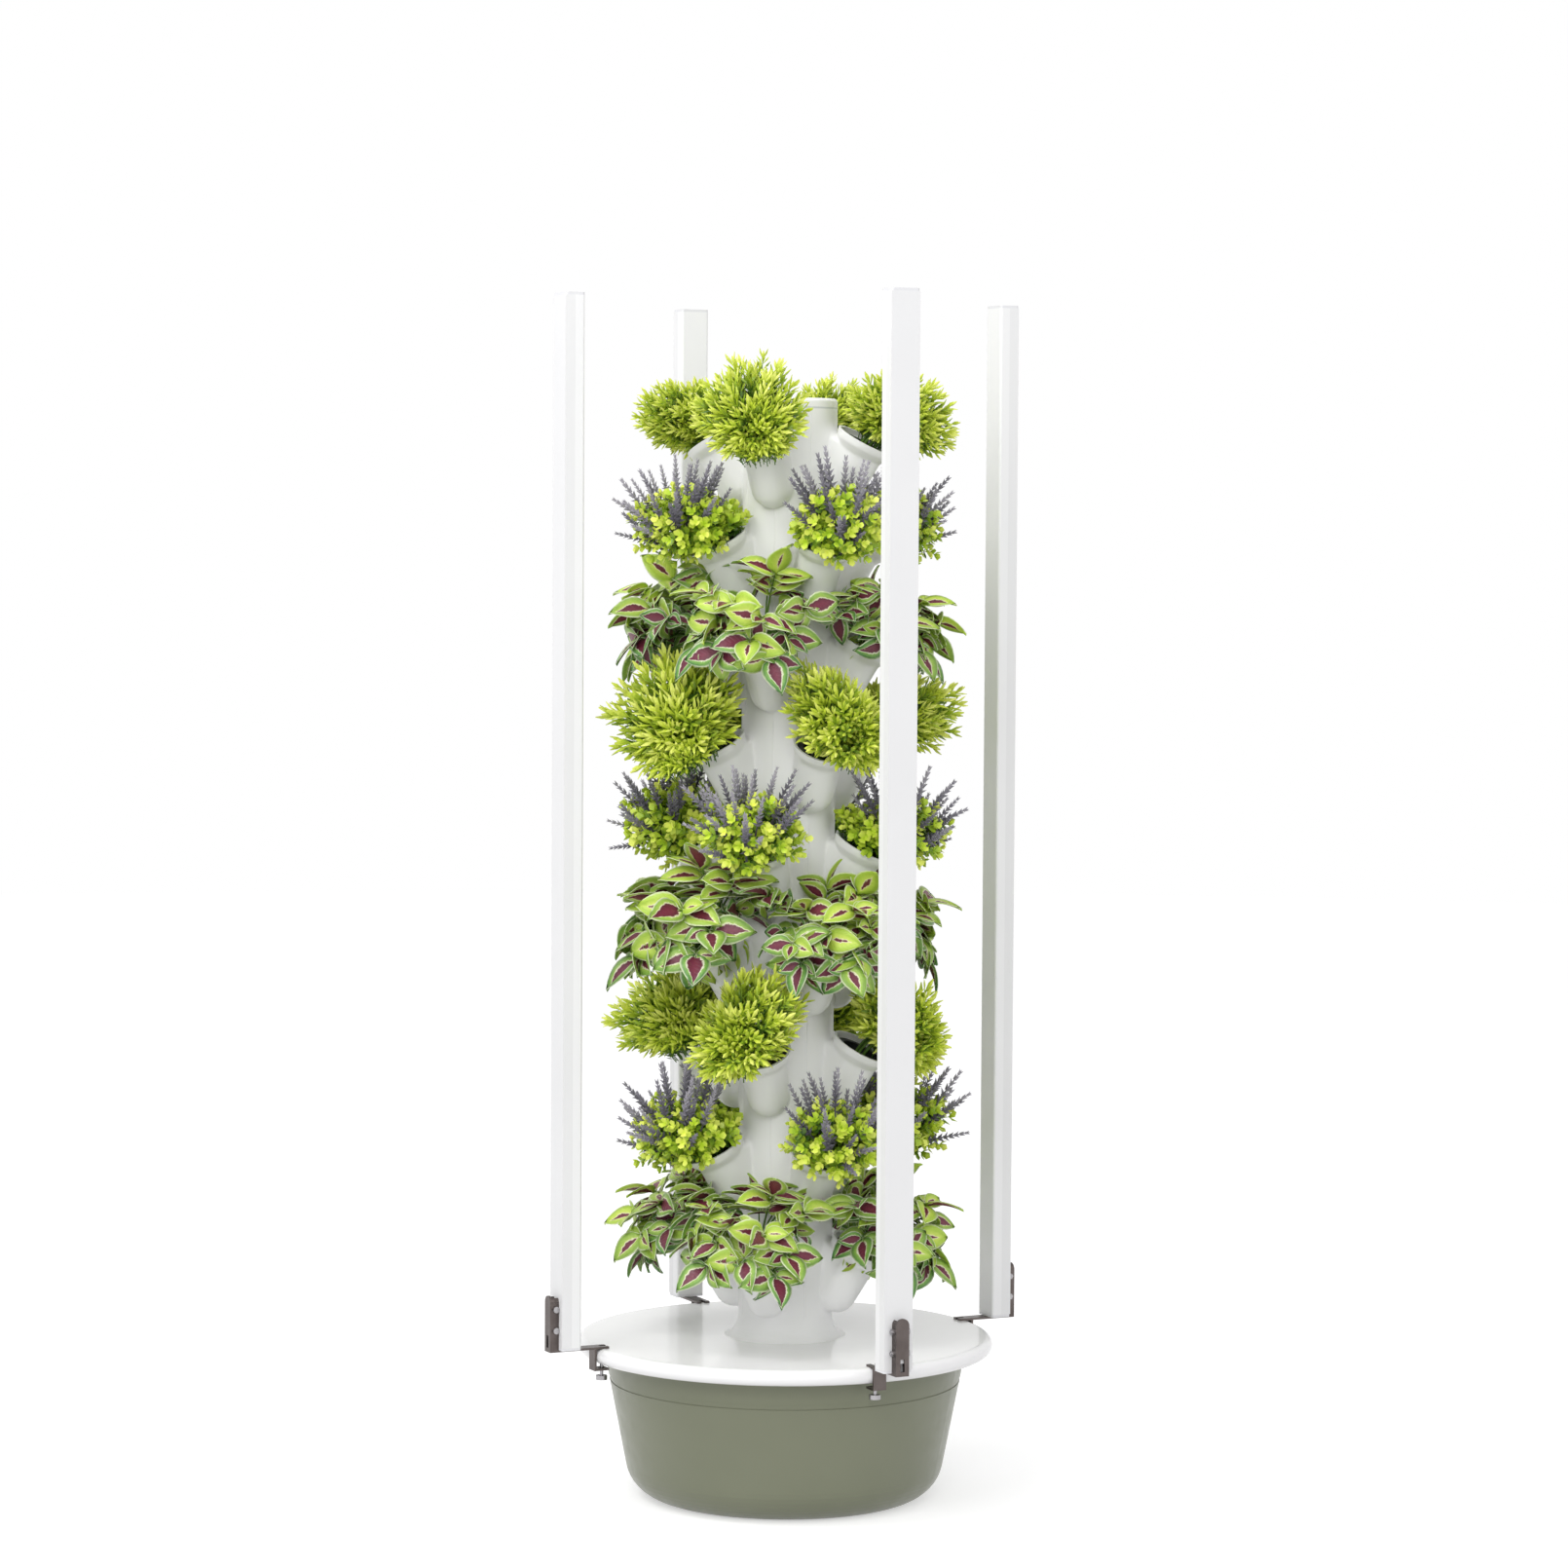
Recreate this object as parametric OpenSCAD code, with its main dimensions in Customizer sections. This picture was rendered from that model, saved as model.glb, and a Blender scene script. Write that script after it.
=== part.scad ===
// Hydroponic growing tower: a round reservoir with a pump, a lid that carries a column of nine
// stacked planting modules, thirty-six net cups with plants, and four upright light bars.
// Millimetres. +Z is up. The origin is on the floor, under the middle of the column.

/* [Reservoir] */
// Height of the reservoir's rim above the floor
bowl_h = 181.7; // [140:1:240]
// Radius of the flat underside that stands on the floor
bowl_foot_r = 138; // [120:1:150]
// Radius of the rounded lower corner
bowl_corner_r = 46; // [30:1:55]
// Outward lean of the side, in degrees
bowl_lean = 11; // [4:0.5:13]
// Wall thickness of the reservoir
bowl_wall = 4; // [2.5:0.5:6]
// Distance from the rim down to the shallow band round the side
band_drop = 40; // [20:1:70]
// Height of the shallow band
band_h = 6; // [3:0.5:12]
// Depth of the shallow band
band_depth = 0.8; // [0.4:0.1:1.5]

/* [Lid] */
// Reach of the lid past the reservoir's rim
lid_overhang = 28.8; // [26:0.2:50]
// Thickness of the lid's plate
lid_plate = 5; // [3:0.5:8]
// Height of the rolled rim
lid_rim_h = 18.2; // [14:0.5:26]
// Wall thickness of the rolled rim
lid_wall = 4; // [2.5:0.5:5]
// Depth of the ring that centres the lid in the reservoir
lid_ring_h = 10; // [5:1:20]
// Radius of the hole in the middle of the lid
lid_hole_r = 46; // [36:1:47]

/* [Column] */
// Outer radius of the column
column_r = 54; // [50:0.5:58]
// Wall thickness of the column
column_wall = 3.5; // [2.5:0.25:4.5]
// Height of the collar between the lid and the lowest module
collar_h = 26; // [20:1:40]
// Radius of the collar where it stands on the lid
collar_foot_r = 70; // [62:1:90]
// Height of one module
module_h = 115.6; // [112:0.2:135]
// Depth of the spigot that centres each module in the one below
joint_depth = 8; // [5:0.5:12]
// Gap all round in the joints that slide together
joint_clear = 0.3; // [0.15:0.05:0.5]
// Height of the cap on top of the column
cap_h = 10; // [8:0.5:16]
// Rounding of the cap's top edge
cap_round = 4; // [2:0.5:5]
// Wall thickness of the cap
cap_wall = 3; // [2:0.25:4]

/* [Pockets] */
// Distance from the column's axis to the middle of a pocket's mouth
mouth_reach = 91.8; // [90:0.5:100]
// Height of the middle of the mouth above the module's foot
mouth_rise = 80.2; // [76:0.5:90]
// Tilt of the mouth from level, in degrees
mouth_tilt = 29; // [24:1:34]
// Outer radius of the mouth
mouth_r = 35.5; // [34:0.25:38]
// Wall thickness of a pocket
pocket_wall = 3; // [2.5:0.25:3.5]
// Depth of a pocket along its own axis
pocket_depth = 60; // [56:1:64]
// Depth of the ledge that a net cup hangs on
seat_depth = 8; // [6:0.5:10]
// Depth at which the flared mouth has narrowed to the throat
throat_depth = 17; // [14:0.5:22]

/* [Net cups] */
// Outer radius of a net cup under its flange
cup_r = 24; // [21:0.25:25]
// Outer radius of a net cup at its foot
cup_foot_r = 18; // [15:0.25:20]
// Depth of a net cup below its flange
cup_h = 48; // [36:1:52]
// Wall thickness of a net cup
cup_wall = 1.6; // [1.2:0.1:2.4]
// Width of the flange that hangs on the ledge
cup_flange_w = 5; // [3.5:0.25:5.5]
// Thickness of the flange
cup_flange_t = 2.2; // [1.6:0.1:3]
// Number of slots round a net cup
cup_slots = 8; // [4:1:12]
// Width of each slot
cup_slot_w = 4; // [2:0.5:5]

/* [Plants] */
// Distance from the column's axis to the middle of a plant's foliage
foliage_reach = 141; // [138:1:146]
// Height of the middle of the foliage above the module's foot
foliage_rise = 119; // [116:1:124]
// Radius of a needle bush
bush_r = 66; // [50:1:68]
// Radius of the leafy mound of a lavender
mound_r = 55; // [45:1:58]
// Reach of a lavender's flower spikes from the middle of the mound
spike_r = 80; // [66:1:82]
// Reach of the leaf tips of a painted-leaf plant
leaf_r = 76; // [60:1:77]
// Radius of the rockwool plug that the roots hold
plug_r = 13; // [10:0.5:13]
// Length of the plug
plug_h = 34; // [25:1:38]
// Radius of the stem between the plug and the foliage
stem_r = 5; // [3:0.5:7]
// Gap between a pocket's mouth and the foliage over it
foliage_lift = 1.5; // [1:0.5:3]

/* [Water riser] */
// Outer radius of the riser tube
riser_r = 9.7; // [9:0.1:12]
// Wall thickness of the riser tube
riser_wall = 1.5; // [1:0.1:2]
// Length of the sleeve that joins the two tubes
coupler_h = 44; // [30:1:70]
// Wall thickness of the sleeve
coupler_wall = 2.4; // [1.5:0.1:3]
// Depth of the drip plate's cup
drip_depth = 10; // [8:0.5:14]
// Thickness of the drip plate
drip_t = 2; // [1.5:0.25:3]
// Number of drip holes
drip_holes = 12; // [6:1:18]
// Radius of each drip hole
drip_hole_r = 2; // [1:0.25:3]

/* [Pump] */
// Length of the pump's housing
pump_l = 60; // [54:1:80]
// Width of the pump's housing
pump_w = 48; // [44:1:60]
// Height of the pump's housing
pump_h = 48; // [44:1:60]
// Corner radius of the housing
pump_round = 7; // [4:0.5:9]
// Height of the suction feet
pump_foot_h = 6; // [4:0.5:10]
// Radius of a suction foot
pump_foot_r = 8; // [6:0.5:9]
// Radius of the impeller's chamber
chamber_r = 16; // [15:0.5:18]
// Length of the impeller's chamber
chamber_l = 18; // [14:0.5:20]
// Radius of the magnet's bore
magnet_bore_r = 8.6; // [7.5:0.1:10]
// Radius of the ceramic shaft
shaft_r = 1.5; // [1:0.1:2]
// Running gap between the shaft and the impeller
shaft_clear = 0.05; // [0.02:0.01:0.1]
// Number of impeller blades
blades = 6; // [4:1:8]
// Thickness of a blade
blade_t = 1.6; // [1:0.1:2]
// Length of the outlet spigot above the housing
spigot_h = 20; // [16:1:30]
// Thickness of the pump's intake cover
cover_t = 4; // [3:0.5:6]
// Depth of the slotted cage in front of the intake
cage_depth = 9; // [6:0.5:14]
// Number of slots in the cage
cage_slots = 5; // [3:1:6]

/* [Lights] */
// Width of a light bar
bar_w = 35; // [30:0.5:40]
// Depth of the housing behind the diffuser
housing_d = 12; // [9:0.5:16]
// Depth of the diffuser in front of the housing
diffuser_d = 12; // [8:0.5:16]
// Length of a light bar with its end caps
bar_l = 1189; // [1150:1:1250]
// Gap between the lid's rim and the front of a bar
bar_gap = 23; // [18:0.5:45]
// Wall thickness of the housing
housing_wall = 2; // [1.5:0.25:3]
// Wall thickness of the diffuser
diffuser_wall = 1.6; // [1:0.1:2.4]
// Thickness of an end cap
end_cap_t = 3; // [2:0.5:5]

/* [Brackets] */
// Thickness of the bracket's steel strip
strip_t = 2.5; // [2:0.25:3]
// Width of the bracket
strip_w = 16; // [14:0.5:20]
// Height of the upright leg
leg_h = 64; // [60:1:80]
// Depth of the leg's channel
channel_d = 10.5; // [9.5:0.5:13]
// Reach of the foot over the lid, inward from the rim's edge
foot_reach = 15; // [12:0.5:18]
// Height of the lower bolt above the foot
bolt_rise = 25; // [20:0.5:30]
// Distance between the two bolts
bolt_pitch = 24; // [20:0.5:28]
// Radius of the bolts
bolt_r = 2; // [1.5:0.1:2.2]
// Gap round a bolt in its hole
bolt_clear = 0.1; // [0.05:0.05:0.2]
// Radius of a bolt's head
bolt_head_r = 3.6; // [3:0.1:3.8]
// Height of a bolt's head
bolt_head_h = 3; // [2:0.25:4]
// Gap between the bracket's hook and the lid's rim
hook_gap = 0.3; // [0.2:0.1:1]
// Length of the clamp screw below the hook
screw_drop = 14; // [12:1:20]

/* [Hidden] */
$fn = 96;
rows = 9;            // modules in the column, counted from the top
pockets = 4;         // pockets round each module
over = 1;            // how far a cutting shape runs past what it cuts
bars = 4;            // light bars round the lid
bar_turn = 45;       // turn of the bars round the column, in degrees
press = 0.1;         // gap where a tube is pushed into its socket

// Heights that the pieces share
lid_top = bowl_h + lid_plate;
collar_top = lid_top + collar_h;
stack_top = collar_top + rows * module_h;
bore_r = column_r - column_wall;
spigot_r = bore_r - joint_clear;
cap_z = stack_top + drip_t;

// The foot and the turn of module n, where module 1 is at the top
function module_foot(n) = collar_top + (rows - n) * module_h;
function module_turn(n) = n % 2 == 1 ? 0 : 180 / pockets;

// Outer radius of the reservoir's side at height z, above the rounded corner
function side_r(z) = bowl_foot_r + bowl_corner_r * cos(bowl_lean)
    + (z - bowl_corner_r * (1 - sin(bowl_lean))) * tan(bowl_lean);
// Points along an arc
function arc(centre, r, from, to, n) =
    [for (i = [0:n]) let (a = from + (to - from) * i / n) centre + r * [cos(a), sin(a)]];

// Reservoir: a bowl with a flat foot, a rounded corner and a leaning side
bowl_slant = bowl_wall / cos(bowl_lean);
band_top = bowl_h - band_drop;
module reservoir() {
    corner = [bowl_foot_r, bowl_corner_r];
    low = band_top - band_h;
    color([0.56, 0.63, 0.51])
    rotate_extrude() difference() {
        polygon(concat(
            [[0, 0]],
            arc(corner, bowl_corner_r, -90, -bowl_lean, 10),
            [[side_r(bowl_h), bowl_h], [side_r(bowl_h) - bowl_slant, bowl_h]],
            arc(corner, bowl_corner_r - bowl_wall, -bowl_lean, -90, 10),
            [[0, bowl_wall]]));
        polygon([[side_r(low) - band_depth, low], [side_r(low) + over, low],
            [side_r(band_top) + over, band_top], [side_r(band_top) - band_depth, band_top]]);
    }
}

// Lid: a flat plate with a rolled rim and a ring that centres it in the reservoir
lid_r = side_r(bowl_h) + lid_overhang;
ring_r = side_r(bowl_h - lid_ring_h) - bowl_slant - joint_clear;
module lid() {
    roll = lid_rim_h / 2;
    middle = [lid_r - roll, lid_top - roll];
    color([0.95, 0.95, 0.95])
    rotate_extrude() polygon(concat(
        [[lid_hole_r, bowl_h], [lid_hole_r, lid_top]],
        arc(middle, roll, 90, -90, 16),
        arc(middle, roll - lid_wall, -90, 90, 12),
        [[middle[0], bowl_h], [ring_r, bowl_h], [ring_r, bowl_h - lid_ring_h],
            [ring_r - lid_wall, bowl_h - lid_ring_h], [ring_r - lid_wall, bowl_h]]));
}

// Collar: the flared foot of the column, with a spigot in the lid and three arms to the riser
collar_spigot_r = lid_hole_r - joint_clear;
collar_spigot_h = lid_plate + 4;
arm_h = 8;
hub_wall = 3;
module base_collar() {
    color([0.93, 0.93, 0.94]) {
        rotate_extrude() polygon(concat(
            [[collar_spigot_r - column_wall, lid_top - collar_spigot_h],
                [collar_spigot_r, lid_top - collar_spigot_h], [collar_spigot_r, lid_top]],
            [for (a = [0:10:90]) [column_r + (collar_foot_r - column_r) * (1 - sin(a)),
                lid_top + collar_h * (1 - cos(a))]],
            [[bore_r, collar_top], [bore_r, lid_top + arm_h + 4],
                [collar_spigot_r - column_wall, lid_top + arm_h]]));
        translate([0, 0, lid_top]) difference() {
            union() {
                cylinder(r = riser_r + joint_clear + hub_wall, h = arm_h);
                for (k = [0:2]) rotate(120 * k + 15)
                    translate([0, -hub_wall / 2, 0])
                    cube([collar_spigot_r - column_wall + over / 2, hub_wall, arm_h - over]);
            }
            translate([0, 0, -over]) cylinder(r = riser_r + joint_clear, h = arm_h + 2 * over);
        }
    }
}

// A frame with its origin in the middle of a pocket's mouth and +Z out of the mouth
module pocket_frame() translate([mouth_reach, 0, mouth_rise]) rotate([0, mouth_tilt, 0]) children();

// Bore of a pocket: a flared mouth, a ledge for the net cup, and a tapering throat
ledge_r = mouth_r - pocket_wall - 2;
throat_r = cup_r + 0.5;
bore_end_r = throat_r - 3.5;
module pocket_bore() pocket_frame() {
    translate([0, 0, -seat_depth]) cylinder(h = seat_depth, r1 = ledge_r, r2 = mouth_r - pocket_wall);
    cylinder(h = over, r = mouth_r - pocket_wall);
    translate([0, 0, -pocket_depth])
        cylinder(h = pocket_depth - seat_depth / 2, r1 = bore_end_r,
            r2 = throat_r + (throat_r - bore_end_r) * seat_depth / 2 / (pocket_depth - seat_depth));
}

// Outside of a pocket: the flared mouth over a scoop that blends into the column
module pocket_outside() {
    throat_out = throat_r + pocket_wall - 1;
    pocket_frame() {
        translate([0, 0, -seat_depth])
            cylinder(h = seat_depth, r1 = ledge_r + pocket_wall, r2 = mouth_r);
        translate([0, 0, -throat_depth])
            cylinder(h = throat_depth - seat_depth, r1 = throat_out, r2 = ledge_r + pocket_wall);
    }
    hull() {
        pocket_frame() translate([0, 0, -throat_depth - 1])
            cylinder(h = 1.5, r = throat_out - 0.2, $fn = 24);
        pocket_frame() translate([0, 0, -pocket_depth - 1])
            sphere(r = bore_end_r + pocket_wall + 0.4, $fn = 14);
        translate([column_r - 14, 0, mouth_rise * 0.4])
            cylinder(r = 9, h = mouth_rise * 0.75, $fn = 10);
    }
}

// Module: a tube with a spigot below, four pockets and four mould seams between them
seam_w = 1.6;
seam_proud = 0.6;
module tower_module(n) translate([0, 0, module_foot(n)]) rotate(module_turn(n)) {
    spigot_in = spigot_r - column_wall + 0.3;
    color([0.93, 0.93, 0.94])
    difference() {
        union() {
            cylinder(r = column_r, h = module_h);
            translate([0, 0, -joint_depth]) cylinder(r = spigot_r, h = joint_depth + over);
            for (k = [0:pockets - 1]) rotate(360 / pockets * k) {
                pocket_outside();
                rotate(180 / pockets) translate([column_r - seam_proud, -seam_w / 2, 0])
                    cube([2 * seam_proud, seam_w, module_h]);
            }
        }
        translate([0, 0, -joint_depth - over])
            cylinder(r = spigot_in, h = joint_depth + 2 * over + 1);
        translate([0, 0, 2]) cylinder(r1 = spigot_in, r2 = bore_r, h = 5);
        translate([0, 0, 7]) cylinder(r = bore_r, h = module_h);
        for (k = [0:pockets - 1]) rotate(360 / pockets * k) pocket_bore();
    }
}

// Drip plate: a shallow cup on the top module, with a socket for the riser and a ring of holes
drip_floor = stack_top - drip_depth;
socket_wall = 3;
cup_lip = 2.5;
module drip_plate() color([0.86, 0.87, 0.88]) difference() {
    union() {
        rotate_extrude() polygon([
            [0, drip_floor], [spigot_r, drip_floor], [spigot_r, stack_top], [column_r, stack_top],
            [column_r, cap_z], [spigot_r - cup_lip, cap_z], [spigot_r - cup_lip, drip_floor + drip_t],
            [0, drip_floor + drip_t]]);
        translate([0, 0, drip_floor - drip_depth])
            cylinder(r = riser_r + press + socket_wall, h = drip_depth + drip_t + 2);
    }
    translate([0, 0, drip_floor - drip_depth - over])
        cylinder(r = riser_r + press, h = 2 * drip_depth + drip_t);
    for (k = [0:drip_holes - 1]) rotate(360 / drip_holes * k)
        translate([bore_r * 0.68, 0, drip_floor - over])
        cylinder(r = drip_hole_r, h = drip_t + 2 * over, $fn = 24);
}

// Cap: a rounded shell on the drip plate, with a skirt inside the plate's cup
module top_cap() {
    skirt_r = spigot_r - cup_lip - joint_clear;
    top = cap_z + cap_h;
    color([0.94, 0.94, 0.95])
    rotate_extrude() union() {
        polygon(concat(
            [[column_r - cap_wall, cap_z], [column_r, cap_z]],
            arc([column_r - cap_round, top - cap_round], cap_round, 0, 90, 6),
            [[0, top], [0, top - cap_wall], [column_r - cap_wall, top - cap_wall]]));
        translate([skirt_r - 2, cap_z - drip_depth / 2])
            square([2, cap_h - cap_wall + drip_depth / 2 + over / 2]);
    }
}

// Riser: two tubes and a sleeve, from the pump's spigot up into the drip plate
pump_z = bowl_wall + pump_foot_h;
pump_top = pump_z + pump_h;
riser_foot = pump_top + 4;
riser_top = drip_floor + drip_t + 1;
riser_mid = (riser_foot + riser_top) / 2;
module riser_tube(low, high) translate([0, 0, low]) difference() {
    cylinder(r = riser_r, h = high - low);
    translate([0, 0, -over]) cylinder(r = riser_r - riser_wall, h = high - low + 2 * over);
}
module riser_lower() color([0.8, 0.82, 0.84]) riser_tube(riser_foot, riser_mid);
module riser_upper() color([0.8, 0.82, 0.84]) riser_tube(riser_mid, riser_top);
module riser_coupler() color([0.3, 0.32, 0.34])
    translate([0, 0, riser_mid - coupler_h / 2]) difference() {
        cylinder(r = riser_r + 0.05 + coupler_wall, h = coupler_h);
        translate([0, 0, -over]) cylinder(r = riser_r + 0.05, h = coupler_h + 2 * over);
    }

// Pump: the outlet stands on the column's axis and the impeller turns about a level axis
axis_z = pump_z + pump_h / 2;
chamber_x = chamber_l / 2;
chamber_back = chamber_x - chamber_l;
housing_back = chamber_x - pump_l;
magnet_l = 26;
shaft_seat = 6;
end_gap = 0.6;
shaft_fit = 0.02;
module along_x(from, to, r) translate([from, 0, axis_z]) rotate([0, 90, 0])
    cylinder(r = r, h = to - from);
module rounded_block(x0, x1, w, z0, h, r) translate([x0, -w / 2, z0]) linear_extrude(h) union() {
    translate([r, 0]) square([x1 - x0 - 2 * r, w]);
    translate([0, r]) square([x1 - x0, w - 2 * r]);
    for (x = [r, x1 - x0 - r], y = [r, w - r]) translate([x, y]) circle(r);
}
module pump_housing() color([0.16, 0.17, 0.18]) difference() {
    union() {
        rounded_block(housing_back, chamber_x, pump_w, pump_z, pump_h, pump_round);
        translate([chamber_x - pump_round, -pump_w / 2, pump_z]) cube([pump_round, pump_w, pump_h]);
        translate([0, 0, pump_top - over])
            cylinder(r = riser_r - riser_wall - joint_clear, h = spigot_h + over);
        translate([housing_back - 5, 0, pump_top - 12]) rotate([0, 90, 0]) cylinder(r = 5, h = 6);
    }
    along_x(chamber_back, chamber_x + over, chamber_r);
    along_x(chamber_back - magnet_l - end_gap, chamber_back + over, magnet_bore_r);
    along_x(chamber_back - magnet_l - end_gap - shaft_seat, chamber_back, shaft_r + shaft_fit);
    translate([0, 0, axis_z]) cylinder(r = riser_r - riser_wall - joint_clear - 2.4, h = pump_h);
}
shaft_from = chamber_back - magnet_l - end_gap - shaft_seat + 0.2;
shaft_to = chamber_x + cover_t - 1.2;
module impeller_shaft() color([0.92, 0.92, 0.9]) along_x(shaft_from, shaft_to, shaft_r);
module impeller() color([0.25, 0.35, 0.6]) difference() {
    union() {
        along_x(chamber_back - magnet_l + end_gap / 2, chamber_back + end_gap, magnet_bore_r - 0.4);
        along_x(chamber_back + end_gap, chamber_back + end_gap + 2, chamber_r - 2);
        along_x(chamber_back + end_gap, chamber_x - 2, 4.5);
        for (k = [0:blades - 1]) translate([0, 0, axis_z]) rotate([360 / blades * k, 0, 0])
            translate([chamber_back + end_gap + 1, 3, -blade_t / 2])
            cube([chamber_l - 4, chamber_r - 5.5, blade_t]);
    }
    along_x(chamber_back - magnet_l - over, chamber_x, shaft_r + shaft_clear);
}
module pump_cover() color([0.2, 0.21, 0.22]) {
    cage_x = chamber_x + cover_t + cage_depth;
    inlet_r = 3;
    difference() {
        intersection() {
            rounded_block(chamber_x - pump_round, cage_x, pump_w, pump_z, pump_h, pump_round);
            translate([chamber_x, -pump_w / 2, pump_z]) cube([cage_x - chamber_x, pump_w, pump_h]);
        }
        translate([chamber_x + cover_t, -pump_w / 2 + 3, pump_z + 3])
            cube([cage_depth - 3, pump_w - 6, pump_h - 6]);
        for (k = [0:5]) translate([0, 0, axis_z]) rotate([60 * k, 0, 0])
            translate([chamber_x - over, 9, 0]) rotate([0, 90, 0])
            cylinder(r = inlet_r, h = cover_t + 2 * over, $fn = 32);
        along_x(chamber_x - over, shaft_to + 0.2, shaft_r + shaft_fit);
        for (k = [0:cage_slots - 1])
            translate([cage_x - 3 - over, -pump_w / 2 + 6, pump_z + 6 + (pump_h - 15) * k / (cage_slots - 1)])
            cube([3 + 2 * over, pump_w - 12, 3]);
    }
}
module pump_feet() color([0.1, 0.1, 0.1])
    for (x = [housing_back + 10, chamber_x - 8], y = [-1, 1] * (pump_w / 2 - 8))
        translate([x, y, bowl_wall]) {
            cylinder(r1 = pump_foot_r, r2 = pump_foot_r * 0.6, h = pump_foot_h / 2);
            cylinder(r = pump_foot_r * 0.45, h = pump_foot_h);
        }

// Net cup: a tapering basket that hangs by its flange on the pocket's ledge
module net_cup() color([0.12, 0.13, 0.13]) pocket_frame() translate([0, 0, -seat_depth]) difference() {
    union() {
        cylinder(r = cup_r + cup_flange_w, h = cup_flange_t);
        translate([0, 0, -cup_h]) cylinder(r1 = cup_foot_r, r2 = cup_r, h = cup_h);
    }
    translate([0, 0, cup_wall - cup_h])
        cylinder(r1 = cup_foot_r - cup_wall, r2 = cup_r - cup_wall, h = cup_h - cup_wall);
    cylinder(r = cup_r - cup_wall, h = cup_flange_t + over);
    translate([0, 0, -cup_h - over]) cylinder(r = cup_foot_r * 0.45, h = cup_wall + 2 * over);
    for (k = [0:cup_slots - 1]) rotate(360 / cup_slots * k)
        translate([cup_foot_r * 0.7, -cup_slot_w / 2, -cup_h * 0.85])
        cube([cup_r, cup_slot_w, cup_h * 0.65]);
}

// Foliage: a closed ball of facets whose radius follows a rule for each kind of plant. It stops
// short of the plane of the pocket's mouth.
sides = 12;
bands = 9;
function tuft(kind, up, i, j) =
    kind == 0 ? bush_r * ((i + j) % 2 == 0 ? 1 : 0.87)
    : kind == 1 ? (up > 5 && (i + j) % 2 == 0 ? spike_r * (0.78 + 0.22 * sin(up)) : mound_r)
    : leaf_r * ((i % 2 == 0) == (j % 2 == 0) ? 1 - 0.2 * max(0, sin(up)) : 0.72);
// Distance from the middle of the foliage to the plane over the mouth, square to that plane
mouth_normal = [sin(mouth_tilt), 0, cos(mouth_tilt)];
foliage_height = [foliage_reach - mouth_reach, 0, foliage_rise - mouth_rise] * mouth_normal
    - foliage_lift;
function clipped(dir, r) = let (down = -(dir * mouth_normal))
    down > 0.01 ? min(r, foliage_height / down) : r;
function leaf_point(kind, up, turn, i, j) =
    let (dir = [cos(up) * cos(turn), cos(up) * sin(turn), sin(up)])
    [foliage_reach, 0, foliage_rise] + dir * clipped(dir, tuft(kind, up, i, j));
module foliage(kind) {
    last = (bands - 1) * sides + 1;
    points = concat(
        [leaf_point(kind, -90, 0, 0, 1)],
        [for (i = [1:bands - 1], j = [0:sides - 1])
            leaf_point(kind, -90 + 180 * i / bands, 360 / sides * j, i, j)],
        [leaf_point(kind, 90, 0, bands, bands % 2)]);
    faces = concat(
        [for (j = [0:sides - 1]) [0, 1 + j, 1 + (j + 1) % sides]],
        [for (i = [1:bands - 2], j = [0:sides - 1]) let (a = 1 + (i - 1) * sides, b = a + sides,
            k = (j + 1) % sides) [a + j, b + j, (i + j) % 2 == 0 ? a + k : b + k]],
        [for (i = [1:bands - 2], j = [0:sides - 1]) let (a = 1 + (i - 1) * sides, b = a + sides,
            k = (j + 1) % sides) [(i + j) % 2 == 0 ? b + j : a + j, b + k, a + k]],
        [for (j = [0:sides - 1]) let (a = 1 + (bands - 2) * sides)
            [a + j, last, a + (j + 1) % sides]]);
    polyhedron(points, faces);
}

// Plant: its rockwool plug stands on the cup's floor, and the stem carries the foliage
kinds = ["bush", "lavender", "painted leaf"];
tints = [[0.45, 0.62, 0.2], [0.45, 0.45, 0.4], [0.5, 0.3, 0.2]];
function plant_kind(n) = (n - 1) % len(kinds);
module plant(n) color(tints[plant_kind(n)]) union() {
    pocket_frame() translate([0, 0, cup_wall - cup_h - seat_depth]) {
        cylinder(r = plug_r, h = plug_h);
        cylinder(r = stem_r, h = cup_h - cup_wall + seat_depth + foliage_lift + 6);
    }
    foliage(plant_kind(n));
}
module in_pocket(n, k) translate([0, 0, module_foot(n)])
    rotate(module_turn(n) + 360 / pockets * k) children();
module net_cups(n) for (k = [0:pockets - 1]) in_pocket(n, k) net_cup();
module plants(n) for (k = [0:pockets - 1]) in_pocket(n, k) plant(n);

// Light bars: a channel, a diffuser, an LED board and two end caps, on a bracket at the lid's rim
bar_foot = lid_top + strip_t;
bar_front_r = lid_r + bar_gap;
bar_back_r = bar_front_r + diffuser_d + housing_d;
inner_w = bar_w - 2 * housing_wall;
bar_corner = 3;
module at_bars() for (k = [0:bars - 1]) rotate(bar_turn + 360 / bars * k) children();
module between_caps() translate([0, 0, bar_foot + end_cap_t]) linear_extrude(bar_l - 2 * end_cap_t) children();
lug_w = strip_w - 2 * strip_t - 0.4;
lug_d = channel_d - strip_t - 0.5;
leg_top = lid_top + leg_h;
function bolt_z(i) = lid_top + bolt_rise + bolt_pitch * i;
module across(z, x, r, w) translate([x, w / 2, z]) rotate([90, 0, 0]) cylinder(r = r, h = w, $fn = 32);
bolt_x = bar_back_r + bolt_head_r + 0.3;
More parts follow.
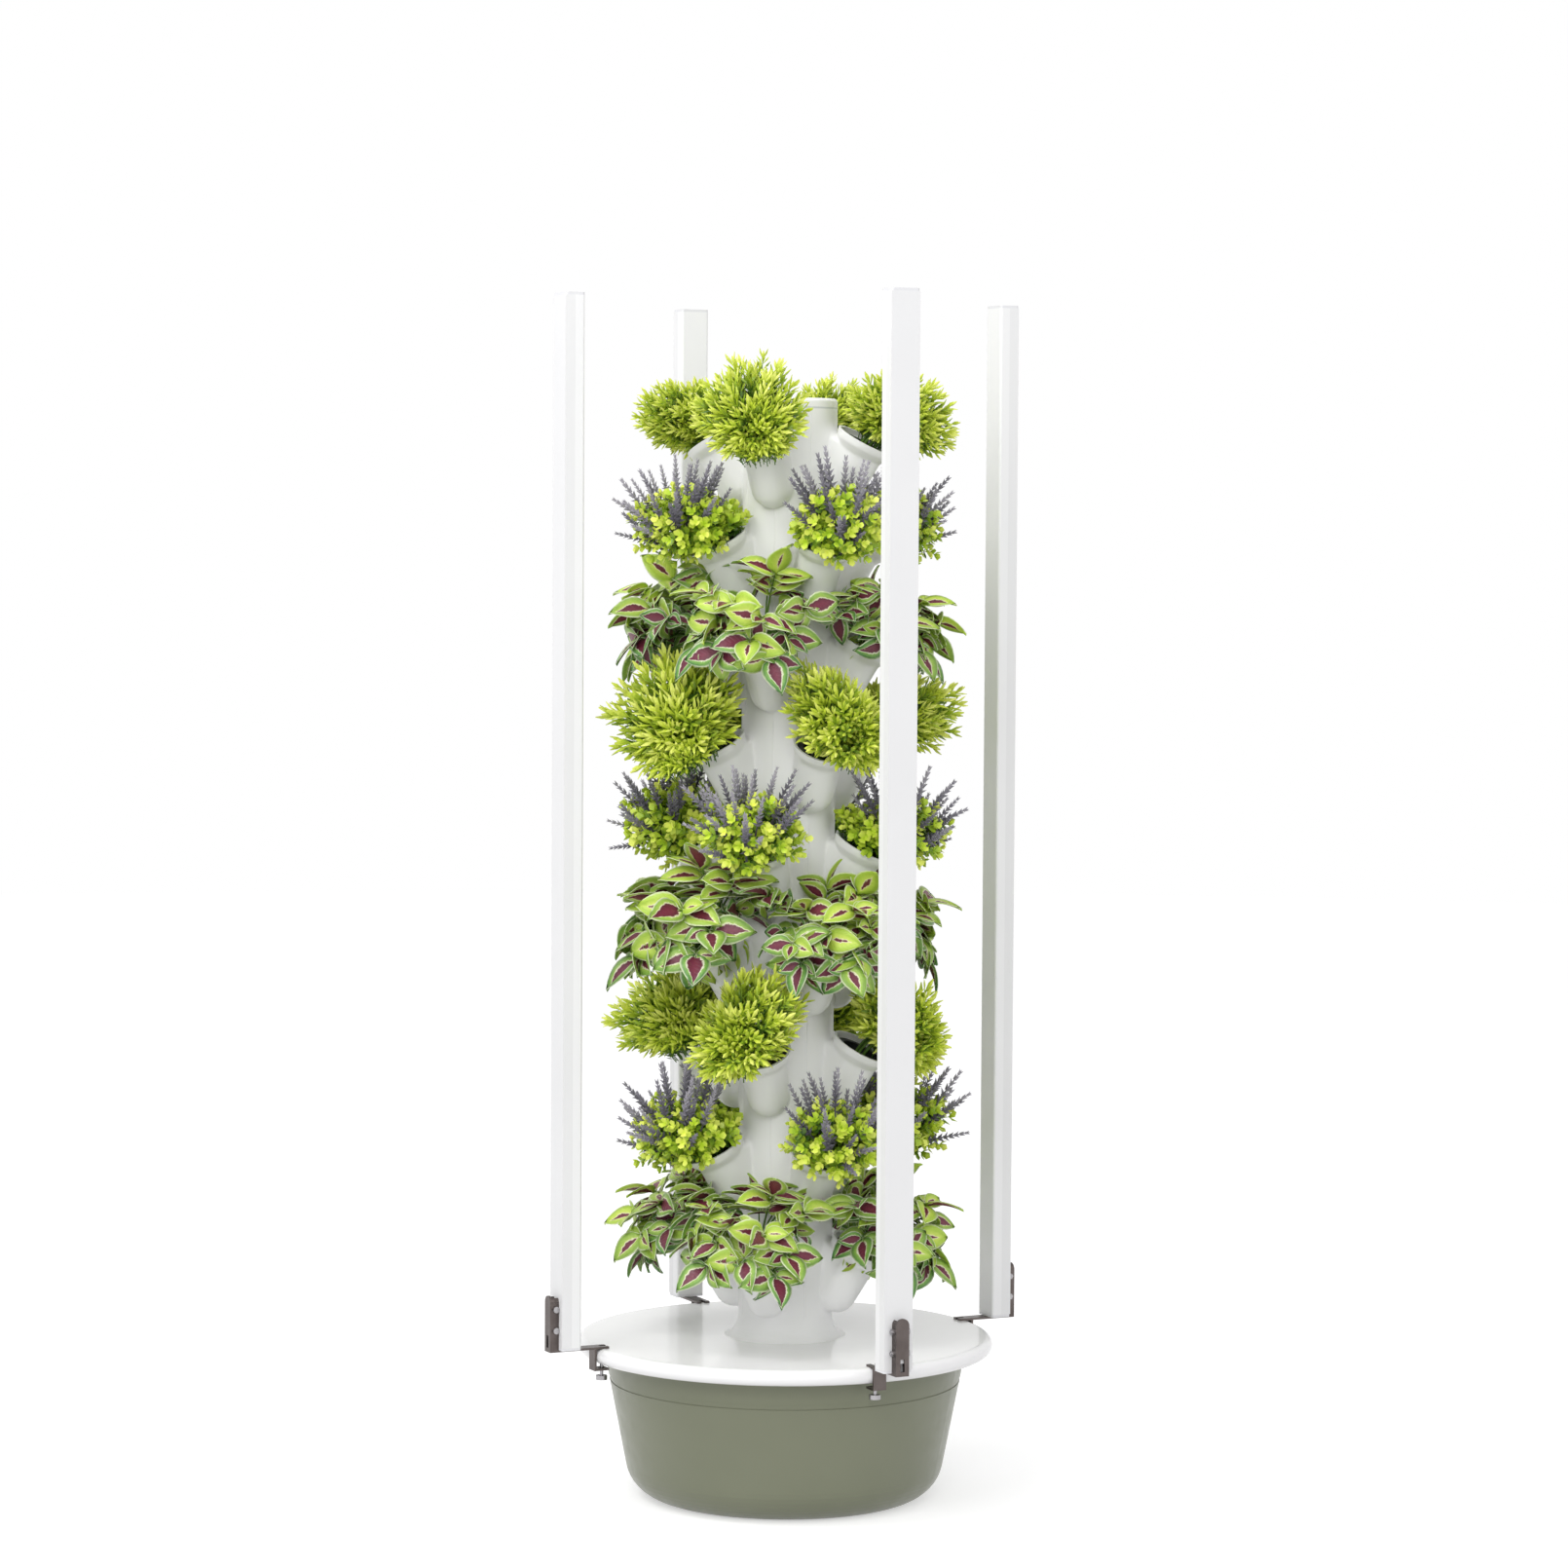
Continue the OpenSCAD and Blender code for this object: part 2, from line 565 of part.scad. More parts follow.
module light_housings() color([0.9, 0.9, 0.91]) at_bars() {
    difference() {
        union() {
            between_caps() difference() {
                translate([bar_back_r - housing_d, -bar_w / 2]) square([housing_d, bar_w]);
                translate([bar_back_r - housing_d - over, -inner_w / 2])
                    square([housing_d - housing_wall + over, inner_w]);
            }
            translate([bar_back_r - 0.5, -lug_w / 2, lid_top + 14])
                cube([lug_d + 0.5, lug_w, leg_h - 20]);
        }
        for (i = [0, 1]) across(bolt_z(i), bolt_x, bolt_r + bolt_clear, lug_w + 2 * over);
    }
}
module light_diffusers() color([0.97, 0.97, 0.98]) at_bars() between_caps() difference() {
    union() {
        translate([bar_front_r, -bar_w / 2 + bar_corner]) square([diffuser_d, bar_w - 2 * bar_corner]);
        translate([bar_front_r + bar_corner, -bar_w / 2]) square([diffuser_d - bar_corner, bar_w]);
        for (s = [-1, 1]) translate([bar_front_r + bar_corner, s * (bar_w / 2 - bar_corner)])
            circle(bar_corner);
        translate([bar_front_r + diffuser_d - over, -inner_w / 2 + 0.1]) square([3 + over, inner_w - 0.2]);
    }
    translate([bar_front_r + diffuser_wall, -inner_w / 2 + diffuser_wall])
        square([diffuser_d + 4, inner_w - 2 * diffuser_wall]);
}
module light_end_caps() color([0.88, 0.88, 0.9]) at_bars()
    for (z = [bar_foot, bar_foot + bar_l - end_cap_t])
        rounded_block(bar_front_r, bar_back_r, bar_w, z, end_cap_t, bar_corner);
board_t = 1.6;
module led_boards() color([0.95, 0.95, 0.85]) at_bars()
    translate([bar_back_r - housing_wall - board_t, -inner_w / 2 + 2, bar_foot + end_cap_t])
    cube([board_t, inner_w - 4, bar_l - 2 * end_cap_t]);

// Bracket: a foot over the lid's rim, a hook under it, and an upright channel with a round top
rim_low = lid_top - lid_rim_h;
hook_r = lid_r + hook_gap;
screw_r = lid_r - lid_rim_h / 2;
hook_low = rim_low - 4;
module light_brackets() color([0.35, 0.33, 0.34]) at_bars() {
    back = bar_back_r + channel_d;
    foot_from = lid_r - foot_reach;
    difference() {
        union() {
            translate([foot_from, -strip_w / 2, lid_top]) cube([back - foot_from, strip_w, strip_t]);
            intersection() {
                translate([bar_back_r, -strip_w / 2, lid_top]) cube([channel_d, strip_w, leg_h]);
                translate([bar_back_r - over, 0, lid_top]) rotate([90, 0, 90])
                    linear_extrude(channel_d + 2 * over) union() {
                        translate([-strip_w / 2, 0]) square([strip_w, leg_h - strip_w / 2]);
                        translate([0, leg_h - strip_w / 2]) circle(strip_w / 2);
                    }
            }
            translate([hook_r, -strip_w / 2, hook_low - strip_t])
                cube([strip_t, strip_w, lid_top - hook_low + 2 * strip_t]);
            translate([foot_from, -strip_w / 2, hook_low - strip_t])
                cube([hook_r - foot_from + over, strip_w, strip_t]);
        }
        translate([bar_back_r - over, -strip_w / 2 + strip_t, lid_top + strip_t])
            cube([channel_d - strip_t + over, strip_w - 2 * strip_t, leg_h]);
        for (i = [0, 1]) across(bolt_z(i), bolt_x, bolt_r + bolt_clear, strip_w + 2 * over);
        translate([foot_from - over, -2.5, lid_top - over]) cube([9 + over, 5, strip_t + 2 * over]);
        translate([back - strip_t - over, -2.5, lid_top + 5]) cube([strip_t + 2 * over, 5, 14]);
        translate([screw_r, 0, hook_low - strip_t - over])
            cylinder(r = bolt_r + bolt_clear, h = strip_t + 2 * over, $fn = 32);
    }
}
module bracket_bolts() color([0.6, 0.6, 0.62]) at_bars() for (i = [0, 1]) {
    translate([bolt_x, strip_w / 2 + bolt_head_h, bolt_z(i)]) rotate([90, 0, 0]) {
        cylinder(r = bolt_head_r, h = bolt_head_h, $fn = 32);
        cylinder(r = bolt_r, h = strip_w + 2 * bolt_head_h + 1, $fn = 32);
    }
}
module bracket_nuts() color([0.6, 0.6, 0.62]) at_bars() for (i = [0, 1])
    translate([bolt_x, -strip_w / 2, bolt_z(i)]) rotate([90, 0, 0]) difference() {
        cylinder(r = bolt_head_r, h = bolt_head_h, $fn = 6);
        translate([0, 0, -over]) cylinder(r = bolt_r + 0.05, h = bolt_head_h + 2 * over, $fn = 32);
    }
module clamp_screws() color([0.6, 0.6, 0.62]) at_bars()
    translate([screw_r, 0, hook_low - screw_drop]) {
        cylinder(r = bolt_head_r * 1.8, h = 5, $fn = 32);
        cylinder(r = bolt_r, h = screw_drop + rim_low - hook_low, $fn = 32);
    }

reservoir();
pump_housing();
pump_cover();
pump_feet();
impeller_shaft();
impeller();
lid();
base_collar();
tower_module(1);  // module_1
tower_module(2);  // module_2
tower_module(3);  // module_3
tower_module(4);  // module_4
tower_module(5);  // module_5
tower_module(6);  // module_6
tower_module(7);  // module_7
tower_module(8);  // module_8
tower_module(9);  // module_9
drip_plate();
top_cap();
riser_lower();
riser_upper();
riser_coupler();
light_housings();
light_diffusers();
light_end_caps();
led_boards();
light_brackets();
bracket_bolts();
bracket_nuts();
clamp_screws();
in_pocket(1, 0) net_cup();  // net_cup_1a
in_pocket(1, 1) net_cup();  // net_cup_1b
in_pocket(1, 2) net_cup();  // net_cup_1c
in_pocket(1, 3) net_cup();  // net_cup_1d
in_pocket(1, 0) plant(1);  // plant_1a
in_pocket(1, 1) plant(1);  // plant_1b
in_pocket(1, 2) plant(1);  // plant_1c
in_pocket(1, 3) plant(1);  // plant_1d
net_cups(2);  // net_cups_2
net_cups(3);  // net_cups_3
net_cups(4);  // net_cups_4
net_cups(5);  // net_cups_5
net_cups(6);  // net_cups_6
net_cups(7);  // net_cups_7
net_cups(8);  // net_cups_8
net_cups(9);  // net_cups_9
plants(2);  // plants_2
plants(3);  // plants_3
plants(4);  // plants_4
plants(5);  // plants_5
plants(6);  // plants_6
plants(7);  // plants_7
plants(8);  // plants_8
plants(9);  // plants_9
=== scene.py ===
# %% [markdown]
# # A growing tower, dressed
# The rigid pieces of the tower arrive as finished solids: the reservoir, the lid, the column, the
# light bars and the pump. This lesson gives each of them its finish, remakes the nine planting
# modules with the soft blends of a moulded shell, and grows the thirty-six plants that the solids
# only stand in for.

# %% Load the solids, and a helper that reads a solid's box
import math
import random

import bmesh
import bpy
from mathutils import Matrix, Vector


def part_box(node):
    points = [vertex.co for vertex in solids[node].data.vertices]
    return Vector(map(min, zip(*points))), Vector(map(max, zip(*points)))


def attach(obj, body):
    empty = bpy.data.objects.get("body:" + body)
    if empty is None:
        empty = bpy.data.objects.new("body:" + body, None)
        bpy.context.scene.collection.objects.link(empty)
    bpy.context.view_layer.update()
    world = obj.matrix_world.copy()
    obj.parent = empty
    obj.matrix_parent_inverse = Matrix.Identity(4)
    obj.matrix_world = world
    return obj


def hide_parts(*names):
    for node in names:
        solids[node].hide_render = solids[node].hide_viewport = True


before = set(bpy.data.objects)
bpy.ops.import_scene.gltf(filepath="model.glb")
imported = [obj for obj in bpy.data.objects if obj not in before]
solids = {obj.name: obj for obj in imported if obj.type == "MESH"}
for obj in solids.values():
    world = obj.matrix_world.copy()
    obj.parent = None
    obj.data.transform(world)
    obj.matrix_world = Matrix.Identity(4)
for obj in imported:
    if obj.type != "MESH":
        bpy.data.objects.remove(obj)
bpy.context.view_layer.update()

# %% [markdown]
# ## The camera
# The photograph was taken from about five metres away with a long lens, slightly above the middle
# of the tower. The camera could be placed by eye, but it was fitted to the lid's outline and the ends
# of the light bars, so the numbers are written here as they came out of that fit.

# %% Camera
turn, pitch, roll = math.radians(19.245), -0.05385, 0.00609
camera_place = (1.7087, -4.909, 1.1037)
lens_mm, film_mm, sight = 103.94, 36, 60
ahead = Vector((-math.sin(turn) * math.cos(pitch), math.cos(turn) * math.cos(pitch), math.sin(pitch)))
right = Vector((math.cos(turn), math.sin(turn), 0))
above = right.cross(ahead)
right, above = (right * math.cos(roll) + above * math.sin(roll),
                above * math.cos(roll) - right * math.sin(roll))
bpy.ops.object.camera_add()
camera = bpy.context.object
camera.matrix_world = Matrix.Translation(camera_place) @ Matrix(
    (right, above, -ahead)).transposed().to_4x4()
camera.data.lens, camera.data.sensor_width, camera.data.clip_end = lens_mm, film_mm, sight
bpy.context.scene.camera = camera
bpy.context.scene.view_settings.view_transform = "Standard"
print("camera looks along", [round(v, 3) for v in ahead])

# %% [markdown]
# ## Wiring materials
# A finish is a small network of nodes. Writing each node out takes many lines, so one helper adds a
# node, sets its values and connects its inputs in a single call. It is used for the studio first.

# %% A helper that adds and connects one node
def add_node(tree, kind, inputs=None, **settings):
    node = tree.nodes.new("ShaderNode" + kind)
    for name, value in settings.items():
        setattr(node, name, value)
    for name, value in (inputs or {}).items():
        socket = node.inputs[name]
        if isinstance(value, bpy.types.NodeSocket):
            tree.links.new(value, socket)
        else:
            socket.default_value = value
    return node


def reckon(tree, operation, *values):
    return add_node(tree, "Math", dict(enumerate(values)), operation=operation).outputs[0]


# %% [markdown]
# ## The studio
# The tower stands in a white studio. What the camera, a mirror or a clear part sees is plain white,
# while the light that falls on the tower is softer, so that white plastic keeps its shading. The
# floor is white too. It glows a little towards the camera, so that it meets the background without
# an edge, and it keeps the soft shadow under the reservoir.

# %% Background that is white to the eye and soft as a lamp
def seen_directly(tree):
    rays = add_node(tree, "LightPath").outputs
    either = reckon(tree, "MAXIMUM", rays["Is Camera Ray"], rays["Is Glossy Ray"])
    return reckon(tree, "MAXIMUM", either, rays["Is Transmission Ray"])


sky_strength = 0.68
studio = bpy.data.worlds.new("studio")
bpy.context.scene.world = studio
studio.use_nodes = True
sky = studio.node_tree
sky.nodes.clear()
soft = add_node(sky, "Background", {"Color": (0.99, 0.99, 1, 1), "Strength": sky_strength})
plain = add_node(sky, "Background", {"Color": (1, 1, 1, 1), "Strength": 1.0})
choice = add_node(sky, "MixShader", {0: seen_directly(sky), 1: soft.outputs[0],
                                     2: plain.outputs[0]})
add_node(sky, "OutputWorld", {"Surface": choice.outputs[0]})

# %% [markdown]
# ## Four soft lamps
# One small lamp would draw hard shadows of the leaves on the column. Four large square lamps give
# broad, soft light instead: the key lamp high in front, a second one near the camera for the fronts
# of the bars, one over the tower for the lid, and a weak one from the side.

# %% Lamps that look at the middle of the column
lamp_target = Vector((0, 0, 0.6))


def soft_lamp(name, place, size, power):
    bpy.ops.object.light_add(type="AREA", location=place)
    lamp = bpy.context.object
    lamp.name, lamp.data.size, lamp.data.energy = name, size, power
    lamp.rotation_euler = (lamp_target - Vector(place)).to_track_quat("-Z", "Y").to_euler()


soft_lamp("key lamp", (-0.6, -3.9, 3.2), 2.0, 38)
soft_lamp("front lamp", (1.4, -4.4, 2.4), 1.4, 48)
soft_lamp("top lamp", (-1.0, -1.4, 3.6), 1.8, 50)
soft_lamp("side lamp", (3.4, -1.2, 2.4), 1.6, 10)
print("four lamps look at", list(lamp_target))

# %% The floor
floor_r, floor_white, floor_glow = 9, 0.7, 0.52
bpy.ops.mesh.primitive_circle_add(vertices=96, radius=floor_r, fill_type="NGON")
floor = bpy.context.object
floor.name = "floor"
paint = bpy.data.materials.new("floor_white")
paint.use_nodes = True
tree = paint.node_tree
tree.nodes.clear()
matte = add_node(tree, "BsdfDiffuse", {"Color": (floor_white, floor_white, floor_white, 1)})
lift = reckon(tree, "MULTIPLY", seen_directly(tree), floor_glow)
glow = add_node(tree, "Emission", {"Color": (1, 1, 1, 1), "Strength": lift})
both = add_node(tree, "AddShader", {0: matte.outputs[0], 1: glow.outputs[0]})
add_node(tree, "OutputMaterial", {"Surface": both.outputs[0]})
floor.data.materials.append(paint)

# %% [markdown]
# ## Moulded plastic
# Nearly every rigid piece is injection moulded. Moulded plastic is never one flat colour: its shade
# drifts slowly over the piece, its gloss is a little patchy, and its skin has a fine grain from the
# mould. The drift and the patches come from two sizes of noise, and the grain from a third that
# only tilts the surface.

# %% Helpers that every finish uses
def start_finish(name):
    finish = bpy.data.materials.new(name)
    finish.use_nodes = True
    tree = finish.node_tree
    tree.nodes.clear()
    place = add_node(tree, "TexCoord").outputs["Object"]
    return finish, tree, place


def end_finish(tree, shader):
    add_node(tree, "OutputMaterial", {"Surface": shader.outputs["BSDF"]})


def noise(tree, place, scale, detail=3):
    return add_node(tree, "TexNoise", {"Vector": place, "Scale": scale, "Detail": detail})


def between(tree, factor, low, high, rise=(0.3, 0.7)):
    return add_node(tree, "MapRange", {"Value": factor, "From Min": rise[0], "From Max": rise[1],
                                       "To Min": low, "To Max": high}).outputs[0]


def blend(tree, factor, first, second):
    """Mixes two colours, each the output of a node or an (r, g, b)."""
    mix = add_node(tree, "Mix", {0: factor}, data_type="RGBA")
    for slot, colour in ((6, first), (7, second)):
        if isinstance(colour, bpy.types.NodeSocket):
            tree.links.new(colour, mix.inputs[slot])
        else:
            mix.inputs[slot].default_value = (*colour, 1)
    return mix.outputs[2]


# %% Moulded plastic with drift, patches and grain
drift_scale, patch_scale = 9, 55


def moulded(name, dark, light, rough, grain=1600, depth=0.00006, coat=0.0, patchy=0.14):
    finish, tree, place = start_finish(name)
    drift = noise(tree, place, drift_scale, 2).outputs[0]
    patches = noise(tree, place, patch_scale, 4).outputs[0]
    skin = noise(tree, place, grain, 2).outputs[0]
    bump = add_node(tree, "Bump", {"Height": skin, "Strength": 0.5, "Distance": depth})
    shader = add_node(tree, "BsdfPrincipled", {
        "Base Color": blend(tree, drift, dark, light),
        "Roughness": between(tree, patches, rough * (1 - patchy), rough * (1 + patchy)),
        "Normal": bump.outputs[0], "Coat Weight": coat, "Coat Roughness": 0.06})
    end_finish(tree, shader)
    return finish


def dress(finish, *names):
    for name in names:
        shell = solids[name].data
        shell.materials.clear()
        shell.materials.append(finish)


# %% The plastics of the reservoir, the lid, the column and the pump
sage = moulded("sage_plastic", (0.16, 0.172, 0.11), (0.19, 0.203, 0.133), 0.38, coat=0.15)
gloss_white = moulded("gloss_white", (0.88, 0.875, 0.88), (0.905, 0.9, 0.905), 0.24, 700,
                      0.00001, 0.3, 0.03)
column_white = moulded("column_white", (0.92, 0.92, 0.92), (0.95, 0.95, 0.95), 0.38)
dress(sage, "reservoir")
dress(gloss_white, "lid")
dress(column_white, "base_collar", "top_cap")
dress(moulded("drip_plastic", (0.66, 0.68, 0.7), (0.72, 0.74, 0.76), 0.4), "drip_plate")
dress(moulded("riser_plastic", (0.55, 0.58, 0.6), (0.62, 0.65, 0.68), 0.25),
      "riser_lower", "riser_upper")
dark_plastic = moulded("dark_plastic", (0.012, 0.013, 0.015), (0.025, 0.027, 0.03), 0.45)
dress(dark_plastic, "riser_coupler", "pump_housing", "pump_cover")
dress(moulded("foot_rubber", (0.008, 0.008, 0.008), (0.016, 0.016, 0.016), 0.85), "pump_feet")
dress(moulded("shaft_ceramic", (0.75, 0.75, 0.72), (0.82, 0.82, 0.8), 0.15), "impeller_shaft")
dress(moulded("impeller_plastic", (0.05, 0.1, 0.3), (0.07, 0.13, 0.36), 0.3), "impeller")
cup_plastic = moulded("cup_plastic", (0.01, 0.011, 0.011), (0.02, 0.021, 0.021), 0.5)
dress(cup_plastic, *[n for n in solids if n.startswith("net_cup")])

# %% The plastics of the light bars
dress(moulded("bar_caps", (0.72, 0.72, 0.74), (0.78, 0.78, 0.8), 0.4), "light_end_caps")
dress(moulded("bar_diffuser", (0.83, 0.83, 0.835), (0.87, 0.87, 0.875), 0.4), "light_diffusers")
dress(moulded("bar_housing", (0.77, 0.77, 0.775), (0.81, 0.81, 0.815), 0.45, 2600, 0.0001),
      "light_housings")
print("moulded finishes made")

# %% [markdown]
# ## Steel
# The brackets are cut from stainless strip and left brushed: fine scratches run up the strip, and
# the gloss changes from scratch to scratch. Noise that is stretched along Z gives both. The bolts are
# zinc plated, which is the same metal look in a paler tone.

# %% Brushed steel
def brushed(name, dark, light, rough, stretch):
    finish, tree, place = start_finish(name)
    lines = add_node(tree, "Mapping", {"Vector": place, "Scale": stretch})
    strokes = noise(tree, lines.outputs[0], 900, 2).outputs[0]
    clouds = noise(tree, place, 60, 3).outputs[0]
    bump = add_node(tree, "Bump", {"Height": strokes, "Strength": 0.4, "Distance": 0.00008})
    shader = add_node(tree, "BsdfPrincipled", {
        "Base Color": blend(tree, clouds, dark, light), "Metallic": 1.0,
        "Roughness": between(tree, strokes, rough * 0.75, rough * 1.3),
        "Normal": bump.outputs[0]})
    end_finish(tree, shader)
    return finish


dress(brushed("bracket_steel", (0.08, 0.066, 0.062), (0.16, 0.137, 0.13), 0.36, (1, 1, 0.03)),
      "light_brackets")
dress(brushed("bolt_steel", (0.3, 0.29, 0.3), (0.45, 0.44, 0.45), 0.3, (1, 1, 1)),
      "bracket_bolts", "bracket_nuts", "clamp_screws")

# %% [markdown]
# ## LED boards
# Behind each diffuser lies a white board with one row of pale yellow chips. The chips could be
# hundreds of small blocks, but nothing of them shows through the opal diffuser, so a pattern that
# repeats along Z is enough.

# %% Boards with a row of chips
half_pitch = 0.018
chip_edge = (0.0142, 0.0148)
finish, tree, place = start_finish("led_board")
height = add_node(tree, "SeparateXYZ", {0: place}).outputs["Z"]
step = reckon(tree, "PINGPONG", height, half_pitch)
chips = between(tree, step, 0.0, 1.0, chip_edge)
shader = add_node(tree, "BsdfPrincipled", {
    "Base Color": blend(tree, chips, (0.83, 0.84, 0.8), (0.8, 0.62, 0.12)),
    "Roughness": between(tree, chips, 0.5, 0.25)})
end_finish(tree, shader)
dress(finish, "led_boards")
print("one chip every", 2 * half_pitch, "m")

# %% [markdown]
# ## Working on a mesh by hand
# From here on pieces are modelled as a person would: add a primitive, go into edit mode, pick some
# of its points, and move, scale or extrude them. In a script the picking is done by asking where a
# point is. Everything is deselected first, because an operator acts on all that is selected.

# %% Helpers for picking points and finishing a piece
def clear_selection():
    if bpy.context.object and bpy.context.object.mode != "OBJECT":
        bpy.ops.object.mode_set(mode="OBJECT")
    bpy.ops.object.select_all(action="DESELECT")


def only(*pieces):
    clear_selection()
    for piece in pieces:
        piece.select_set(True)
    bpy.context.view_layer.objects.active = pieces[0]
    return pieces[0]


def pick(piece, test):
    """In edit mode, selects the points whose place passes the test and returns how many."""
    mesh = bmesh.from_edit_mesh(piece.data)
    for part in (mesh.verts, mesh.edges, mesh.faces):
        for item in part:
            item.select_set(False)
    found = [v for v in mesh.verts if test(v.co)]
    for v in found:
        v.select_set(True)
    mesh.select_flush(True)
    bmesh.update_edit_mesh(piece.data)
    return len(found)


def settle(piece, matrix=None):
    """Puts a piece's place into its mesh, so that its object sits at the origin."""
    piece.data.transform((matrix or Matrix()) @ piece.matrix_world)
    piece.matrix_world = Matrix()
    return piece


def apply_all(piece):
    only(piece)
    for modifier in list(piece.modifiers):
        bpy.ops.object.modifier_apply(modifier=modifier.name)


def join(name, pieces):
    whole = only(*pieces)
    if len(pieces) > 1:
        bpy.ops.object.join()
    whole.name = whole.data.name = name
    return whole


# %% [markdown]
# ## Planting module: the outside
# Each module is one blow-moulded shell: a tube with four pockets that flare out like scoops and melt
# into the tube. Modelling that blend face by face is slow. Instead each pocket's scoop is the convex
# hull of three simple shapes with a flared mouth on it, and a voxel remesh turns the tube and the
# four scoops into one skin, whose creases are then smoothed until they look moulded.

# %% Sizes of a module, from its own solid
collar_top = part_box("base_collar")[1].z
rows = 9
module_h = (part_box("module_1")[1].z - collar_top) / rows
column_r, column_wall = 0.054, 0.0035
mouth = Vector((0.0918, 0, 0.0802))
tilt = math.radians(29)
to_mouth = Matrix.Translation(mouth) @ Matrix.Rotation(tilt, 4, "Y")
mouth_r, mouth_bore_r, pocket_depth = 0.0355, 0.0325, 0.060
seat_depth, throat_depth, throat_r = 0.008, 0.017, 0.0245
print("module height", round(module_h, 4), "collar top", round(collar_top, 4))

# %% [markdown]
# ## Turning a profile
# Throats, flares, bores and plugs are all round. Each is turned from a short profile: a circle is
# extruded along the axis and scaled to the next radius, again and again, and closed at both ends.

# %% A helper that turns a profile into a solid
def turned(name, profile, matrix, steps=48):
    """Turns a profile of (radius, height) pairs into a solid that is closed at both ends."""
    clear_selection()
    bpy.ops.mesh.primitive_circle_add(vertices=steps, radius=profile[0][0], fill_type="NGON",
                                      location=(0, 0, profile[0][1]))
    piece = bpy.context.object
    piece.name = name
    bpy.ops.object.mode_set(mode="EDIT")
    bpy.ops.mesh.select_all(action="SELECT")
    for (r0, z0), (r1, z1) in zip(profile, profile[1:]):
        bpy.ops.mesh.extrude_region_move(TRANSFORM_OT_translate={"value": (0, 0, z1 - z0)})
        bpy.ops.transform.resize(value=(r1 / r0, r1 / r0, 1), center_override=(0, 0, 0))
    bpy.ops.mesh.select_all(action="SELECT")
    bpy.ops.mesh.normals_make_consistent(inside=False)
    bpy.ops.object.mode_set(mode="OBJECT")
    return settle(piece, matrix)


# %% One scoop: a flared mouth over the hull of a throat, a round end and a root in the tube
throat_wall, flare_wall, overlap = 0.0018, 0.002, 0.001
end_r, root_r, root_h = 0.0244, 0.009, 0.06
root_place = (0.040, 0, 0.0625)
seat_outer_r, lip_flare, lip_h = 0.0335, 0.0007, 0.004


def scoop():
    throat = turned("throat", [(throat_r + throat_wall, -throat_depth - overlap),
                               (throat_r + throat_wall, -throat_depth + overlap / 2)], to_mouth)
    clear_selection()
    bpy.ops.mesh.primitive_uv_sphere_add(segments=24, ring_count=12, radius=end_r,
                                         location=(0, 0, -pocket_depth - overlap))
    end = settle(bpy.context.object, to_mouth)
    clear_selection()
    bpy.ops.mesh.primitive_cylinder_add(vertices=24, radius=root_r, depth=root_h, location=root_place)
    root = settle(bpy.context.object)
    body = join("scoop", [throat, end, root])
    bpy.ops.object.mode_set(mode="EDIT")
    bpy.ops.mesh.select_all(action="SELECT")
    bpy.ops.mesh.convex_hull()
    bpy.ops.object.mode_set(mode="OBJECT")
    flare = turned("flare", [(throat_r + flare_wall, -throat_depth - 2 * overlap),
                             (throat_r + flare_wall, -throat_depth), (seat_outer_r, -seat_depth),
                             (mouth_r, 0), (mouth_r + lip_flare, lip_h)], to_mouth, 64)
    return join("scoop", [body, flare])


def copy_of(piece, name, matrix):
    twin = piece.copy()
    twin.data = piece.data.copy()
    twin.name = twin.data.name = name
    bpy.context.scene.collection.objects.link(twin)
    twin.data.transform(matrix)
    return twin


def quarter(k):
    return Matrix.Rotation(math.radians(90 * k), 4, "Z")


# %% One skin over the tube and its four scoops
trim = 0.008
first = scoop()
scoops = [first] + [copy_of(first, "scoop", quarter(k)) for k in (1, 2, 3)]
clear_selection()
bpy.ops.mesh.primitive_cylinder_add(vertices=128, radius=column_r, depth=module_h + 2 * trim,
                                    location=(0, 0, module_h / 2))
shell = join("module_shell", [settle(bpy.context.object), *scoops])
skin = shell.modifiers.new("skin", "REMESH")
skin.mode, skin.voxel_size = "VOXEL", 0.0014
melt = shell.modifiers.new("melt", "SMOOTH")
melt.factor, melt.iterations = 0.5, 10
thin = shell.modifiers.new("thin", "DECIMATE")
thin.ratio = 0.22
apply_all(shell)
print("skin of one module:", len(shell.data.polygons), "faces")

# %% [markdown]
# ## Planting module: the inside
# The mould leaves the shell hollow: one bore down the tube and one down each pocket, with a ledge
# where the net cup's flange hangs and a throat that narrows to the tube. Each bore is a turned
# plug, and booleans take the plugs away one by one. The skin is thinned out before that, because a
# boolean's time grows with the number of faces.

# %% Hollow the shell
def cut(piece, tool):
    blade = piece.modifiers.new("cut", "BOOLEAN")
    blade.operation, blade.solver, blade.object = "DIFFERENCE", "MANIFOLD", tool
    apply_all(piece)
    bpy.data.objects.remove(tool)


bore_end_r, ledge_r, seat_r, step_h = 0.021, 0.0247, 0.0305, 0.0001
trimmer_r, trimmer_h, past_end = 0.042, 0.014, 0.02
plug = turned("plug", [(bore_end_r, -pocket_depth), (ledge_r, -seat_depth - step_h),
                       (seat_r, -seat_depth), (mouth_bore_r, 0), (mouth_bore_r, overlap)], to_mouth, 64)
above_mouth = turned("above_mouth", [(trimmer_r, 0), (trimmer_r, trimmer_h)], to_mouth, 64)
tools = [plug, above_mouth]
for k in (1, 2, 3):
    tools += [copy_of(plug, "plug", quarter(k)), copy_of(above_mouth, "above_mouth", quarter(k))]
bore = turned("bore", [(column_r - column_wall, -past_end),
                       (column_r - column_wall, module_h + past_end)], Matrix(), 96)
for tool in tools + [bore]:
    cut(shell, tool)

